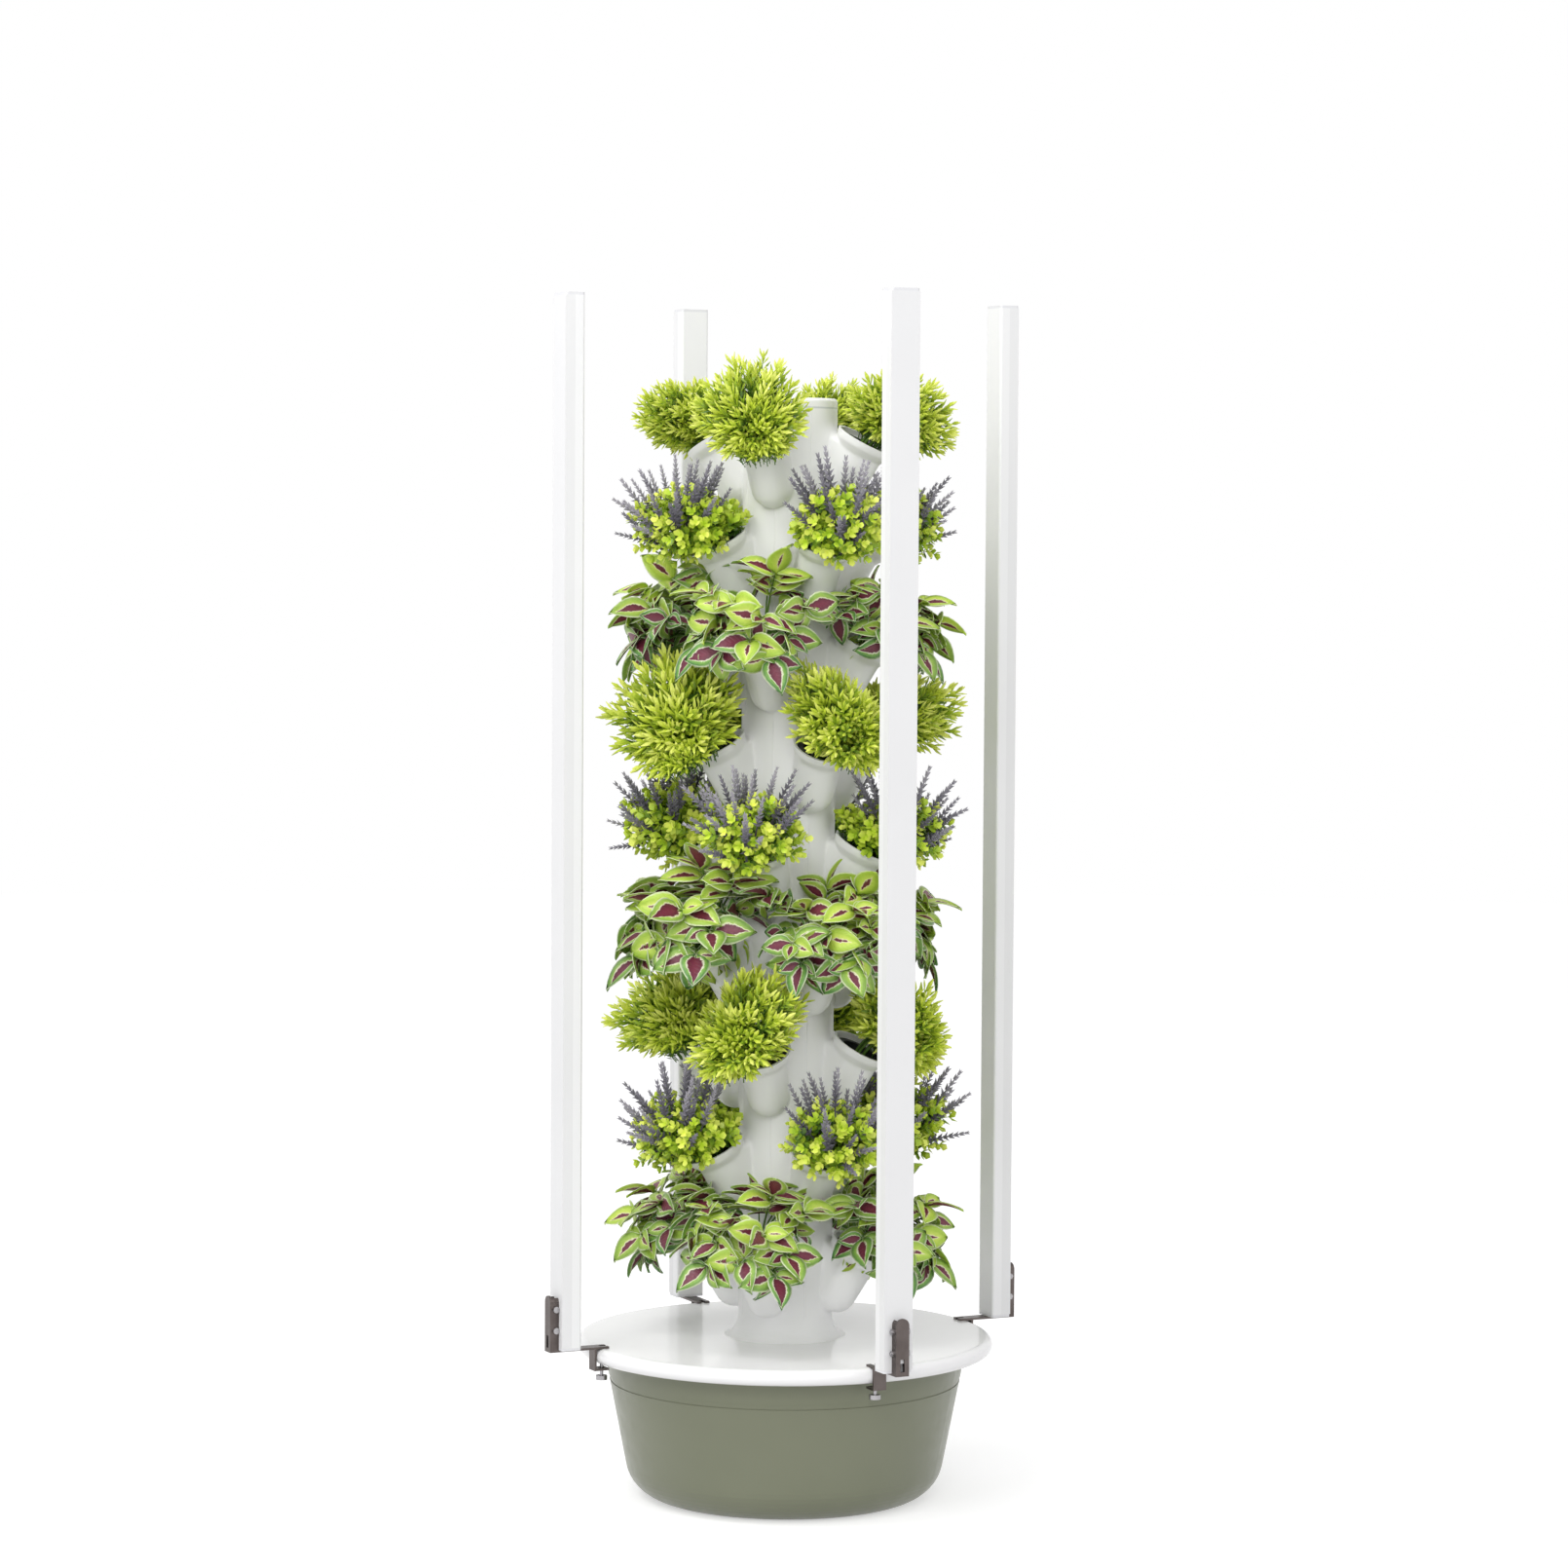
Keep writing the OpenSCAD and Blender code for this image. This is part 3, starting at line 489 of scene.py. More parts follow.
# %% Trim the ends flat
only(shell)
bpy.ops.object.mode_set(mode="EDIT")
for height, up in ((0, -1), (module_h, 1)):
    bpy.ops.mesh.select_all(action="SELECT")
    bpy.ops.mesh.bisect(plane_co=(0, 0, height), plane_no=(0, 0, up), use_fill=True, clear_outer=True)
bpy.ops.object.mode_set(mode="OBJECT")
print("hollow module:", len(shell.data.polygons), "faces")

# %% [markdown]
# ## Planting module: seams, spigot and nine copies
# The two halves of the mould leave a fine ridge between the pockets, and a spigot below centres the
# module in the one under it. With them on, the module is copied nine times. Every other copy is
# turned by 45 degrees, as the real modules are stacked.

# %% Add the seams and the spigot
seam_r, seam_sink = 0.0008, 0.0002
spigot_r, spigot_bore_r, spigot_drop, spigot_grip = 0.0502, 0.047, 0.008, 0.002
ridges = []
for k in range(4):
    clear_selection()
    bpy.ops.mesh.primitive_cylinder_add(vertices=10, radius=seam_r, depth=module_h - 2 * seam_sink,
                                        location=(column_r - seam_sink, 0, module_h / 2))
    ridges.append(settle(bpy.context.object, Matrix.Rotation(math.radians(45 + 90 * k), 4, "Z")))
spigot = turned("spigot", [(spigot_r, -spigot_drop), (spigot_r, spigot_grip)], Matrix(), 96)
cut(spigot, turned("spigot_bore", [(spigot_bore_r, -spigot_drop - 2 * overlap),
                                   (spigot_bore_r, spigot_grip + 2 * overlap)], Matrix(), 96))
module = join("module", [shell, spigot, *ridges])
bpy.ops.object.shade_smooth_by_angle(angle=math.radians(40))
module.data.materials.clear()
module.data.materials.append(column_white)
print("finished module:", len(module.data.polygons), "faces")

# %% Stack nine of them
def module_place(row):
    return Matrix.Translation((0, 0, collar_top + (rows - row) * module_h)) @ Matrix.Rotation(
        math.radians(0 if row % 2 else 45), 4, "Z")


for row in range(1, rows + 1):
    stacked = copy_of(module, f"planting_module_{row}", module_place(row))
    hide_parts(f"module_{row}")
    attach(stacked, "tower")
bpy.data.objects.remove(module)
print("nine modules stacked")

# %% [markdown]
# ## Marks that travel with a shape
# A leaf that is copied hundreds of times must not look stamped. Each copy carries two numbers on its
# points: "tip", which runs from 0 at the root of a sprig to 1 at its ends, and "chance", which is
# drawn once for every copy. For bush and lavender sprigs that lie on the inner shell, over the rim or
# in the mouth, the chance is drawn lower, which paints shade on them. The leaf finishes read both, so
# that tips are young and pale, roots and deep sprigs are darker with painted shade, and no two sprigs
# have quite the same green.

# %% Helpers that mark, place and gather copies
def mark(piece, name, values):
    layer = piece.data.attributes.get(name) or piece.data.attributes.new(name, "FLOAT", "POINT")
    layer.data.foreach_set("value", list(values))


def mark_tips(piece, length):
    mark(piece, "tip", [min(1, max(0, v.co.z / length)) for v in piece.data.vertices])
    return piece


def facing(direction, twist=0.0, up=Vector((0, 0, 1))):
    """A turn that points +Z along the direction, with +X as level as it can be."""
    z = direction.normalized()
    x = up.cross(z)
    x = x.normalized() if x.length > 1e-4 else Vector((1, 0, 0))
    y = z.cross(x)
    return Matrix((x, y, z)).transposed().to_4x4() @ Matrix.Rotation(twist, 4, "Z")


def scattered(name, shape, places):
    """One piece made of copies of a shape: places are (matrix, chance) pairs."""
    copies = []
    for matrix, chance in places:
        twin = copy_of(shape, name, matrix)
        mark(twin, "chance", [chance] * len(twin.data.vertices))
        copies.append(twin)
    return join(name, copies)


def stalk(name, points, thick, thin):
    """A tube along a smooth curve, from thick at its first point to thin at its last."""
    curve = bpy.data.curves.new(name, "CURVE")
    curve.dimensions, curve.bevel_depth, curve.bevel_resolution = "3D", 1.0, 0
    curve.use_fill_caps, curve.resolution_u = True, 3
    line = curve.splines.new("NURBS")
    line.points.add(len(points) - 1)
    for i, p in enumerate(points):
        line.points[i].co = (*p, 1)
        line.points[i].radius = thick + (thin - thick) * i / (len(points) - 1)
    line.use_endpoint_u, line.order_u = True, 3
    piece = bpy.data.objects.new(name, curve)
    bpy.context.scene.collection.objects.link(piece)
    only(piece)
    bpy.ops.object.convert(target="MESH")
    return bpy.context.object


# %% Places that every plant shares, and a turn that keeps neighbours apart
mouth_normal = Vector((math.sin(tilt), 0, math.cos(tilt)))
heart = Vector((0.141, 0, 0.119))
golden_turn, full_turn = 2.4, 6.28
print("foliage is centred", round((heart - mouth).length, 3), "m from the mouth")

# %% [markdown]
# ## Leaf finishes
# Leaves have a satin skin, and they are paler where they are young. One flat green would hide that,
# so the finishes follow the marks: the bush and the lavender go from dark at the root through mid
# green to lime at the tips, and the flower heads from slate to a paler grey violet. The dark at a
# sprig's root is partly older growth and partly painted shade, since the roots lie deep inside the
# foliage.

# %% A finish that runs from root to tip
def mark_of(tree, name):
    return add_node(tree, "Attribute", attribute_name=name).outputs["Fac"]


def ramp(tree, factor, stops):
    node = add_node(tree, "ValToRGB", {"Fac": factor})
    bar = node.color_ramp
    while len(bar.elements) < len(stops):
        bar.elements.new(0.5)
    for element, (at, colour) in zip(bar.elements, stops):
        element.position, element.color = at, (*colour, 1)
    return node.outputs[0]


def leafy(name, stops, rough, shift=0.3, grain=420):
    finish, tree, place = start_finish(name)
    cloud = noise(tree, place, grain, 3).outputs[0]
    chance = between(tree, mark_of(tree, "chance"), -shift, shift * 0.6, (0, 1))
    sway = between(tree, cloud, -0.12, 0.12, (0, 1))
    tone = reckon(tree, "ADD", reckon(tree, "ADD", mark_of(tree, "tip"), chance), sway)
    bump = add_node(tree, "Bump", {"Height": cloud, "Strength": 0.4, "Distance": 0.0003})
    shader = add_node(tree, "BsdfPrincipled", {
        "Base Color": ramp(tree, tone, stops),
        "Roughness": between(tree, cloud, rough * 0.8, rough * 1.2), "Normal": bump.outputs[0]})
    end_finish(tree, shader)
    return finish


# %% Greens, flower grey, stems and rockwool
# The dark stops near a sprig's root are painted shade deep in the foliage as well as older growth; the
# lime stops are young tips.
bush_green = leafy("bush_leaves", [(0.2, (0.06, 0.14, 0.01)), (0.45, (0.29, 0.43, 0.024)),
                                   (0.7, (0.6, 0.71, 0.055)), (1.0, (0.83, 0.88, 0.2))], 0.45)
mound_green = leafy("lavender_greens", [(0.2, (0.05, 0.13, 0.012)), (0.45, (0.25, 0.42, 0.02)),
                                        (0.7, (0.54, 0.7, 0.045)), (1.0, (0.8, 0.87, 0.16))], 0.4)
flower_grey = leafy("lavender_leaves", [(0.3, (0.11, 0.104, 0.13)), (0.65, (0.23, 0.22, 0.26)),
                                        (1.0, (0.44, 0.42, 0.47))], 0.6)
stem_green = moulded("stem_green", (0.07, 0.16, 0.02), (0.14, 0.26, 0.03), 0.5, 900, 0.0002)
wool = moulded("rockwool", (0.2, 0.15, 0.09), (0.34, 0.27, 0.17), 0.95, 500, 0.0008)

# %% [markdown]
# ## What every plant stands on
# The roots sit in a plug of rockwool inside the net cup, and a handful of stems rise through the
# pocket's mouth into the foliage. Both are hidden until a cup is lifted out, and both are the same
# for all thirty-six plants, so they are modelled once.

# %% Plug and stems
wool_r, wool_h, wool_z = 0.0126, 0.034, -0.0374


def bare_root():
    clear_selection()
    bpy.ops.mesh.primitive_cylinder_add(vertices=20, radius=wool_r, depth=wool_h,
                                        location=(0, 0, wool_z))
    block = bpy.context.object
    bpy.ops.object.mode_set(mode="EDIT")
    pick(block, lambda p: abs(abs(p.z) - wool_h / 2) < 0.001)
    bpy.ops.mesh.bevel(offset=0.0018, segments=2)
    bpy.ops.mesh.select_all(action="SELECT")
    bpy.ops.mesh.subdivide(number_cuts=1, smoothness=0)
    bpy.ops.object.mode_set(mode="OBJECT")
    settle(block, to_mouth)
    block.data.materials.append(wool)
    rng = random.Random(4)
    stems = []
    for i in range(6):
        a = i * golden_turn
        side = Vector((math.cos(a), math.sin(a), 0)) * rng.uniform(0.003, 0.007)
        root, lip = to_mouth @ (side + Vector((0, 0, -0.024))), to_mouth @ (side * 1.6)
        stems.append(stalk("stem", [root, lip, lip.lerp(heart, 0.5) + side,
                                    heart + side * 2.4], 0.0017, 0.001))
        stems[-1].data.materials.append(stem_green)
    return join("bare_root", [block, *stems])


root_block = bare_root()
print("plug and stems:", len(root_block.data.polygons), "faces")

# %% [markdown]
# ## Needle bush: one sprig
# The bushes of rows one, four and seven are flattened balls of forked sprigs. A sprig is a thin stem
# with four whorls of short flat needles, and it is copied about three hundred times, so every needle
# has to be a shape of eight faces: a three-sided cone that starts at a point, widens, and is extruded
# once to a blunt end.

# %% One needle and one sprig
def needle(length, width):
    clear_selection()
    bpy.ops.mesh.primitive_cone_add(vertices=3, radius1=0.00005, radius2=width / 2,
                                    depth=length * 0.62, location=(0, 0, length * 0.31))
    blade = settle(bpy.context.object)
    only(blade)
    bpy.ops.object.mode_set(mode="EDIT")
    pick(blade, lambda p: p.z > length * 0.6)
    bpy.ops.mesh.extrude_region_move(TRANSFORM_OT_translate={"value": (0, 0, length * 0.38)})
    bpy.ops.transform.resize(value=(0.28, 0.28, 1), center_override=(0, 0, length))
    bpy.ops.mesh.select_all(action="SELECT")
    bpy.ops.transform.resize(value=(1, 0.5, 1), center_override=(0, 0, 0))
    bpy.ops.object.mode_set(mode="OBJECT")
    return blade


def whorls(name, leaf, stem_length, stem_r, rings):
    """A stem with rings of copies of a leaf: rings are (height, number, lean, turn, size)."""
    clear_selection()
    bpy.ops.mesh.primitive_cone_add(vertices=3, radius1=stem_r, radius2=stem_r * 0.5,
                                    depth=stem_length, location=(0, 0, stem_length / 2))
    parts = [settle(bpy.context.object)]
    for height, number, lean, start, size in rings:
        for i in range(number):
            around = Matrix.Rotation(math.radians(start + 360 * i / number), 4, "Z")
            parts.append(copy_of(leaf, name, Matrix.Translation((0, 0, height)) @ around
                                 @ Matrix.Rotation(math.radians(lean), 4, "X")
                                 @ Matrix.Scale(size, 4)))
    bpy.data.objects.remove(leaf)
    return join(name, parts)


sprig_length = 0.054
sprig = whorls("sprig", needle(0.0175, 0.0056), 0.040, 0.0012,
               [(0.010, 2, 44, 0, 0.85), (0.019, 3, 42, 80, 1.0), (0.028, 3, 36, 15, 1.0),
                (0.036, 3, 24, 70, 1.0)])
mark_tips(sprig, 0.052)
sprig.data.materials.append(bush_green)
print("one sprig:", len(sprig.data.polygons), "faces")

# %% [markdown]
# ## Spreading the foliage
# Real foliage grows out of the cup on all sides and hides it. Leaves could be scattered by chance,
# but chance leaves holes and clumps. Here their tips are spread evenly over a ball by the golden
# angle and then shaken a little, more of them stand in the mouth and lie out over its rim, and a tip
# that would reach into the pocket or the column is left out.

# %% Even directions over a ball, and its lumps
def directions(count, rng, shake):
    for i in range(count):
        z = 1 - 2 * (i + 0.5) / count
        a = i * math.pi * (3 - math.sqrt(5))
        flat = math.sqrt(1 - z * z)
        yield (Vector((flat * math.cos(a), flat * math.sin(a), z))
               + Vector([rng.uniform(-shake, shake) for _ in range(3)])).normalized()


def lumps(way, seed):
    """A slow rise and fall over the ball, so that no bush is perfectly round."""
    return (1 + 0.07 * math.sin(3.1 * way.x + 2.3 * way.y + seed)
            + 0.06 * math.sin(4.3 * way.z - 2.9 * way.y + 2 * seed))


# %% Places over the rim and in the mouth
over_rim, mouth_rise, flange_r, flange_z = 0.046, 0.03, 0.0295, -0.0052


def over_the_rim(rng, count, length):
    """Places for shapes that start inside the mouth and lie out over its rim on all sides."""
    for i in range(count):
        a, lean = i * golden_turn, math.radians(rng.uniform(38, 72))
        local = Vector((math.sin(lean) * math.cos(a), math.sin(lean) * math.sin(a), math.cos(lean)))
        way = to_mouth.to_3x3() @ local
        start = to_mouth @ Vector((local.x * 0.006, local.y * 0.006, 0.001))
        # The chance is drawn at most 0.6, which darkens bush and lavender sprigs over the rim as
        # painted shade.
        yield (Matrix.Translation(start) @ facing(way, rng.uniform(0, full_turn))
               @ Matrix.Scale(over_rim / length * rng.uniform(0.85, 1.1), 4), rng.uniform(0, 0.6))


def in_the_mouth(rng, count, length, rise):
    """Places for shapes that stand in the mouth over the cup's flange and hide both."""
    for i in range(count):
        a, r = i * golden_turn, flange_r * math.sqrt((i + 0.5) / count)
        start = to_mouth @ Vector((r * math.cos(a), r * math.sin(a), flange_z))
        lean = to_mouth.to_3x3() @ Vector((r * 9 * math.cos(a), r * 9 * math.sin(a), 1))
        # The chance is drawn at most 0.5, which darkens bush and lavender sprigs in the mouth as
        # painted shade.
        yield (Matrix.Translation(start) @ facing(lean, rng.uniform(0, full_turn))
               @ Matrix.Scale(rise / length * rng.uniform(0.8, 1.2), 4), rng.uniform(0, 0.5))


# %% A test that keeps leaves out of the pocket, and a place for a shape that ends at a tip
pocket_clear, mouth_clear, column_clear = 0.041, 0.002, 0.06


def is_free(point, sink=0.006):
    """Whether a leaf tip clears the pocket: over the mouth's plane, or beside the pocket's wall."""
    local = to_mouth.inverted() @ point
    beside = math.hypot(local.x, local.y) > pocket_clear
    outside = math.hypot(point.x, point.y) > column_clear
    return outside and (local.z > mouth_clear or (beside and local.z > -sink))


def ending_at(tip, way, length, scale, rng):
    return (Matrix.Translation(tip - way * length * scale) @ facing(way, rng.uniform(0, full_turn))
            @ Matrix.Scale(scale, 4))


# %% [markdown]
# ## Needle bush: the ball
# The tips of a bush lie on two shells, one inside the other, round a middle that sits out in front
# of the mouth. The ball is flattened and a little lumpy, and its sprigs fan out from a root between
# the mouth and the middle, as they would from a cut stem. Three bushes are made, and the twelve in
# the tower are turned copies of them.

# %% Three bushes
bush_shells = ((165, 1.0, 0.073), (70, 0.9, 0.052))
# bush_r is the outer reach: each shell sprig's chance is scaled by its reach over bush_r, which paints
# shade on the inner shell.
bush_flatness, bush_sink, bush_r = 0.62, Vector((0, 0, 0.005)), 0.075
root_share = 0.45


def bush(name, seed):
    rng = random.Random(seed)
    places = [*over_the_rim(rng, 30, sprig_length), *in_the_mouth(rng, 50, sprig_length, 0.034)]
    root = mouth.lerp(heart, root_share)
    for count, size, reach in bush_shells:
        for way in directions(count, rng, 0.16):
            scale = size * rng.uniform(0.85, 1.15)
            flat = Vector((way.x, way.y, way.z * bush_flatness))
            tip = heart + flat * reach * lumps(way, seed) * rng.uniform(0.84, 1.14) - bush_sink
            if is_free(tip):
                place = ending_at(tip, (tip - root).normalized(), sprig_length, scale, rng)
                # An inner-shell sprig gets a lower chance: painted shade deep inside the ball.
                places.append((place, rng.random() * reach / bush_r))
    return scattered(name, sprig, places)


bushes = [bush(f"bush_{i}", 11 + i) for i in range(3)]
print("one bush:", len(bushes[0].data.polygons), "faces")

# %% [markdown]
# ## Lavender: leaves and flower heads
# Rows two, five and eight hold lavender: a mound of small round leaves, and grey-violet flower heads
# that stand up out of all of it. A leaf is a flat six-sided cone, narrowed towards its root. A flower
# head is a slim core with eight whorls of pointed buds that grow smaller towards the top.

# %% One round leaf and one bud
def round_leaf(length, width):
    clear_selection()
    bpy.ops.mesh.primitive_cone_add(vertices=6, radius1=0.5, radius2=0, depth=0.16)
    leaf = settle(bpy.context.object)
    only(leaf)
    bpy.ops.object.mode_set(mode="EDIT")
    bpy.ops.mesh.select_all(action="SELECT")
    bpy.ops.transform.translate(value=(0, 0.5, 0))
    pick(leaf, lambda p: p.y < 0.3)
    bpy.ops.transform.resize(value=(0.55, 1, 1), center_override=(0, 0, 0))
    bpy.ops.mesh.select_all(action="SELECT")
    bpy.ops.transform.resize(value=(width, length, length), center_override=(0, 0, 0))
    bpy.ops.transform.rotate(value=math.radians(90), orient_axis="X", center_override=(0, 0, 0))
    bpy.ops.object.mode_set(mode="OBJECT")
    if max(v.co.z for v in leaf.data.vertices) < length * 0.5:
        leaf.data.transform(Matrix.Rotation(math.pi, 4, "X"))
    return leaf


def bud(length, width):
    clear_selection()
    bpy.ops.mesh.primitive_cone_add(vertices=3, radius1=width / 2, radius2=0, depth=length,
                                    location=(0, 0, length / 2))
    return settle(bpy.context.object)


# %% One leafy twig
twig_length, spike_length = 0.042, 0.09
twig = whorls("twig", round_leaf(0.0125, 0.0095), 0.032, 0.0008,
              [(0.010, 2, 58, 0, 0.85), (0.017, 2, 55, 80, 0.95), (0.024, 2, 50, 150, 1.0),
               (0.031, 3, 38, 20, 0.95)])
mark_tips(twig, twig_length)
twig.data.materials.append(mound_green)
print("one twig:", len(twig.data.polygons), "faces")

# %% One flower head
head_rings = [(0.034 + 0.0074 * i, 4, 66 - 6 * i, 45 * i, 1.1 - 0.06 * i) for i in range(8)]
spike = whorls("spike", bud(0.0102, 0.0064), 0.086, 0.002, head_rings)
mark_tips(spike, spike_length)
spike.data.materials.append(flower_grey)
print("one flower head:", len(spike.data.polygons), "faces")

# %% [markdown]
# ## Lavender: the plant
# The mound is made as the bush is, only smaller, lower and of leafy twigs. The flower heads start
# inside it all over its top and sides. Each leans away from the middle and then turns up, because
# the stem of a real one grows towards the light.

# %% The mound of leaves
mound = heart - Vector((0.008, 0, 0.02))
mound_shells = ((135, 0.056), (40, 0.038))
# mound_r is the outer reach: each shell twig's chance is scaled by its reach over mound_r, which paints
# shade on the inner shell.
mound_flatness, mound_r = 0.75, 0.055


def mound_places(rng, seed):
    places = [*over_the_rim(rng, 28, twig_length), *in_the_mouth(rng, 48, twig_length, mouth_rise)]
    root = mouth.lerp(mound, root_share)
    for count, reach in mound_shells:
        for way in directions(count, rng, 0.14):
            scale = rng.uniform(0.8, 1.1)
            flat = Vector((way.x, way.y, way.z * mound_flatness))
            tip = mound + flat * reach * lumps(way, seed) * rng.uniform(0.8, 1.22)
            if is_free(tip):
                place = ending_at(tip, (tip - root).normalized(), twig_length, scale, rng)
                # An inner-shell twig gets a lower chance: painted shade deep inside the mound.
                places.append((place, rng.random() * reach / mound_r))
    return places


# %% The flower heads, and four plants
head_count, head_middle, head_rise = 30, Vector((0.5, 0, 0.86)), 0.048


def head_places(rng):
    for i in range(head_count):
        lean = math.radians(6 + 84 * math.sqrt((i + 0.5) / head_count)) * rng.uniform(0.8, 1.15)
        a = i * golden_turn + rng.uniform(-0.3, 0.3)
        way = facing(head_middle) @ Vector((math.sin(lean) * math.cos(a), math.sin(lean) * math.sin(a),
                                            math.cos(lean)))
        rise = (way * rng.uniform(0.6, 1.1) + Vector((0, 0, rng.uniform(0.3, 0.8)))).normalized()
        scale = rng.uniform(0.65, 0.95)
        tip = mound + way * rng.uniform(0.036, 0.05) + rise * head_rise * scale
        if is_free(tip, 0.02):
            yield ending_at(tip, rise, spike_length, scale, rng), rng.random()


def lavender(name, seed):
    rng = random.Random(seed)
    greens = mound_places(rng, seed)
    heads = list(head_places(rng))
    return join(name, [scattered(name, twig, greens), scattered(name, spike, heads)])


lavenders = [lavender(f"lavender_{i}", 31 + i) for i in range(4)]
print("one lavender:", len(lavenders[0].data.polygons), "faces")

# %% [markdown]
# ## Painted leaf: the leaf
# Rows three, six and nine hold plants with large pointed leaves: dark red in the middle, a thin
# cream line round it, and a green margin. The leaf starts as a flat grid. Each row of its points
# is scaled to the leaf's width at that place, the midrib is pushed down into a fold, and a bend
# lets the tip droop. The colours follow the grid's own UV map, so they stay on the leaf however it
# is bent.

# %% Where a point lies on the leaf
blotch_at, blotch_length = 0.43, 2.3


def leaf_measures(tree, ripple):
    """How far a point is along the leaf, towards its edge, and out of the dark blotch."""
    grid = add_node(tree, "SeparateXYZ", {0: add_node(tree, "TexCoord").outputs["UV"]}).outputs
    along = grid["Y"]
    half = reckon(tree, "ABSOLUTE", reckon(tree, "SUBTRACT", grid["X"], 0.5))
    edge = reckon(tree, "MULTIPLY", half, 2.0)
    off = reckon(tree, "SUBTRACT", along, blotch_at)
    far = reckon(tree, "MULTIPLY_ADD", reckon(tree, "MULTIPLY", off, off), blotch_length, edge)
    far = reckon(tree, "ADD", far, between(tree, ripple, -0.16, 0.16, (0, 1)))
    far = reckon(tree, "ADD", far, between(tree, mark_of(tree, "chance"), 0.3, -0.16, (0, 1)))
    return along, edge, far


# %% The painted finish
def painted():
    finish, tree, place = start_finish("painted_leaves")
    ripple = noise(tree, place, 260, 3).outputs[0]
    along, edge, far = leaf_measures(tree, ripple)
    young = ramp(tree, far, [(0.0, (0.22, 0.03, 0.06)), (0.36, (0.13, 0.017, 0.035)),
                             (0.42, (0.86, 0.78, 0.52)), (0.5, (0.62, 0.76, 0.12)),
                             (0.9, (0.42, 0.6, 0.06))])
    old = ramp(tree, far, [(0.0, (0.17, 0.024, 0.05)), (0.36, (0.11, 0.016, 0.035)),
                           (0.44, (0.8, 0.77, 0.6)), (0.54, (0.2, 0.4, 0.07)),
                           (0.9, (0.08, 0.22, 0.05))])
    age = between(tree, mark_of(tree, "tip"), 0.0, 1.0, (0.3, 0.62))
    rim = between(tree, edge, 0.0, 0.75, (0.84, 0.97))
    colour = blend(tree, rim, blend(tree, age, young, old), (0.82, 0.86, 0.6))
    slanted = reckon(tree, "SUBTRACT", along, reckon(tree, "MULTIPLY", edge, 0.35))
    relief = between(tree, reckon(tree, "PINGPONG", slanted, 0.06), 0.0, 1.0, (0.0, 0.025))
    bump = add_node(tree, "Bump", {"Height": relief, "Strength": 0.5, "Distance": 0.0004})
    shader = add_node(tree, "BsdfPrincipled", {
        "Base Color": colour, "Roughness": between(tree, ripple, 0.34, 0.5),
        "Normal": bump.outputs[0]})
    end_finish(tree, shader)
    return finish


# %% One leaf
leaf_rows, leaf_thick, fold = 7, 0.0005, 0.07


def pointed_leaf(name, length, width, droop):
    clear_selection()
    bpy.ops.mesh.primitive_grid_add(x_subdivisions=4, y_subdivisions=leaf_rows, size=1,
                                    location=(0, 0.5, 0))
    leaf = settle(bpy.context.object)
    only(leaf)
    bpy.ops.object.mode_set(mode="EDIT")
    for i in range(leaf_rows + 1):
        y = i / leaf_rows
        wide = max(0.03, 1.05 * math.sin(math.pi * y ** 0.82) ** 0.78 * (1 - 0.22 * y))
        pick(leaf, lambda p: abs(p.y - y) < 0.01)
        bpy.ops.transform.resize(value=(wide, 1, 1), center_override=(0, 0, 0))
    pick(leaf, lambda p: abs(p.x) < 0.01)
    bpy.ops.transform.translate(value=(0, 0, -fold))
    bpy.ops.mesh.select_all(action="SELECT")
    bpy.ops.transform.resize(value=(width, length, length), center_override=(0, 0, 0))
    bpy.ops.object.mode_set(mode="OBJECT")
    for v in leaf.data.vertices:
        turn_by = droop * v.co.y / length
        along = v.co.y
        v.co.y = along * math.cos(turn_by * 0.5)
        v.co.z -= along * math.sin(turn_by * 0.5)
    thick = leaf.modifiers.new("thick", "SOLIDIFY")
    thick.thickness, thick.offset = leaf_thick, 0
    apply_all(leaf)
    bpy.ops.object.shade_smooth()
    leaf.name = name
    leaf.data.materials.append(painted_finish)
    return leaf


# %% Three sizes of leaf
painted_finish = painted()
largest = 0.045
leaves = [pointed_leaf("leaf_small", 0.029, 0.0205, 0.3),
          pointed_leaf("leaf_middle", 0.037, 0.0265, 0.5),
          pointed_leaf("leaf_large", largest, 0.032, 0.7)]
print("one leaf:", len(leaves[0].data.polygons), "faces")

# %% [markdown]
# ## Painted leaf: the plant
# Nineteen stems leave the pocket's mouth and arch out under their own weight. Every stem carries
# three pairs of leaves and a rosette of four at its end. The upper side of each leaf looks away from
# the middle of the plant and up, as leaves that reach for the light do.

# %% A leaf's place, and a stem's points
def leaf_place(point, along, outward, roll):
    y = along.normalized()
    z = (outward - y * outward.dot(y)).normalized()
    x = y.cross(z)
    return Matrix.Translation(point) @ Matrix((x, y, z)).transposed().to_4x4() @ Matrix.Rotation(
        roll, 4, "Y")


stem_count, stem_rise, stem_sag, stem_root = 19, 0.012, 0.36, 0.02
across = Vector((0, 1, 0))
level = across.cross(mouth_normal)
outwards = Vector((0.22, 0, 0))


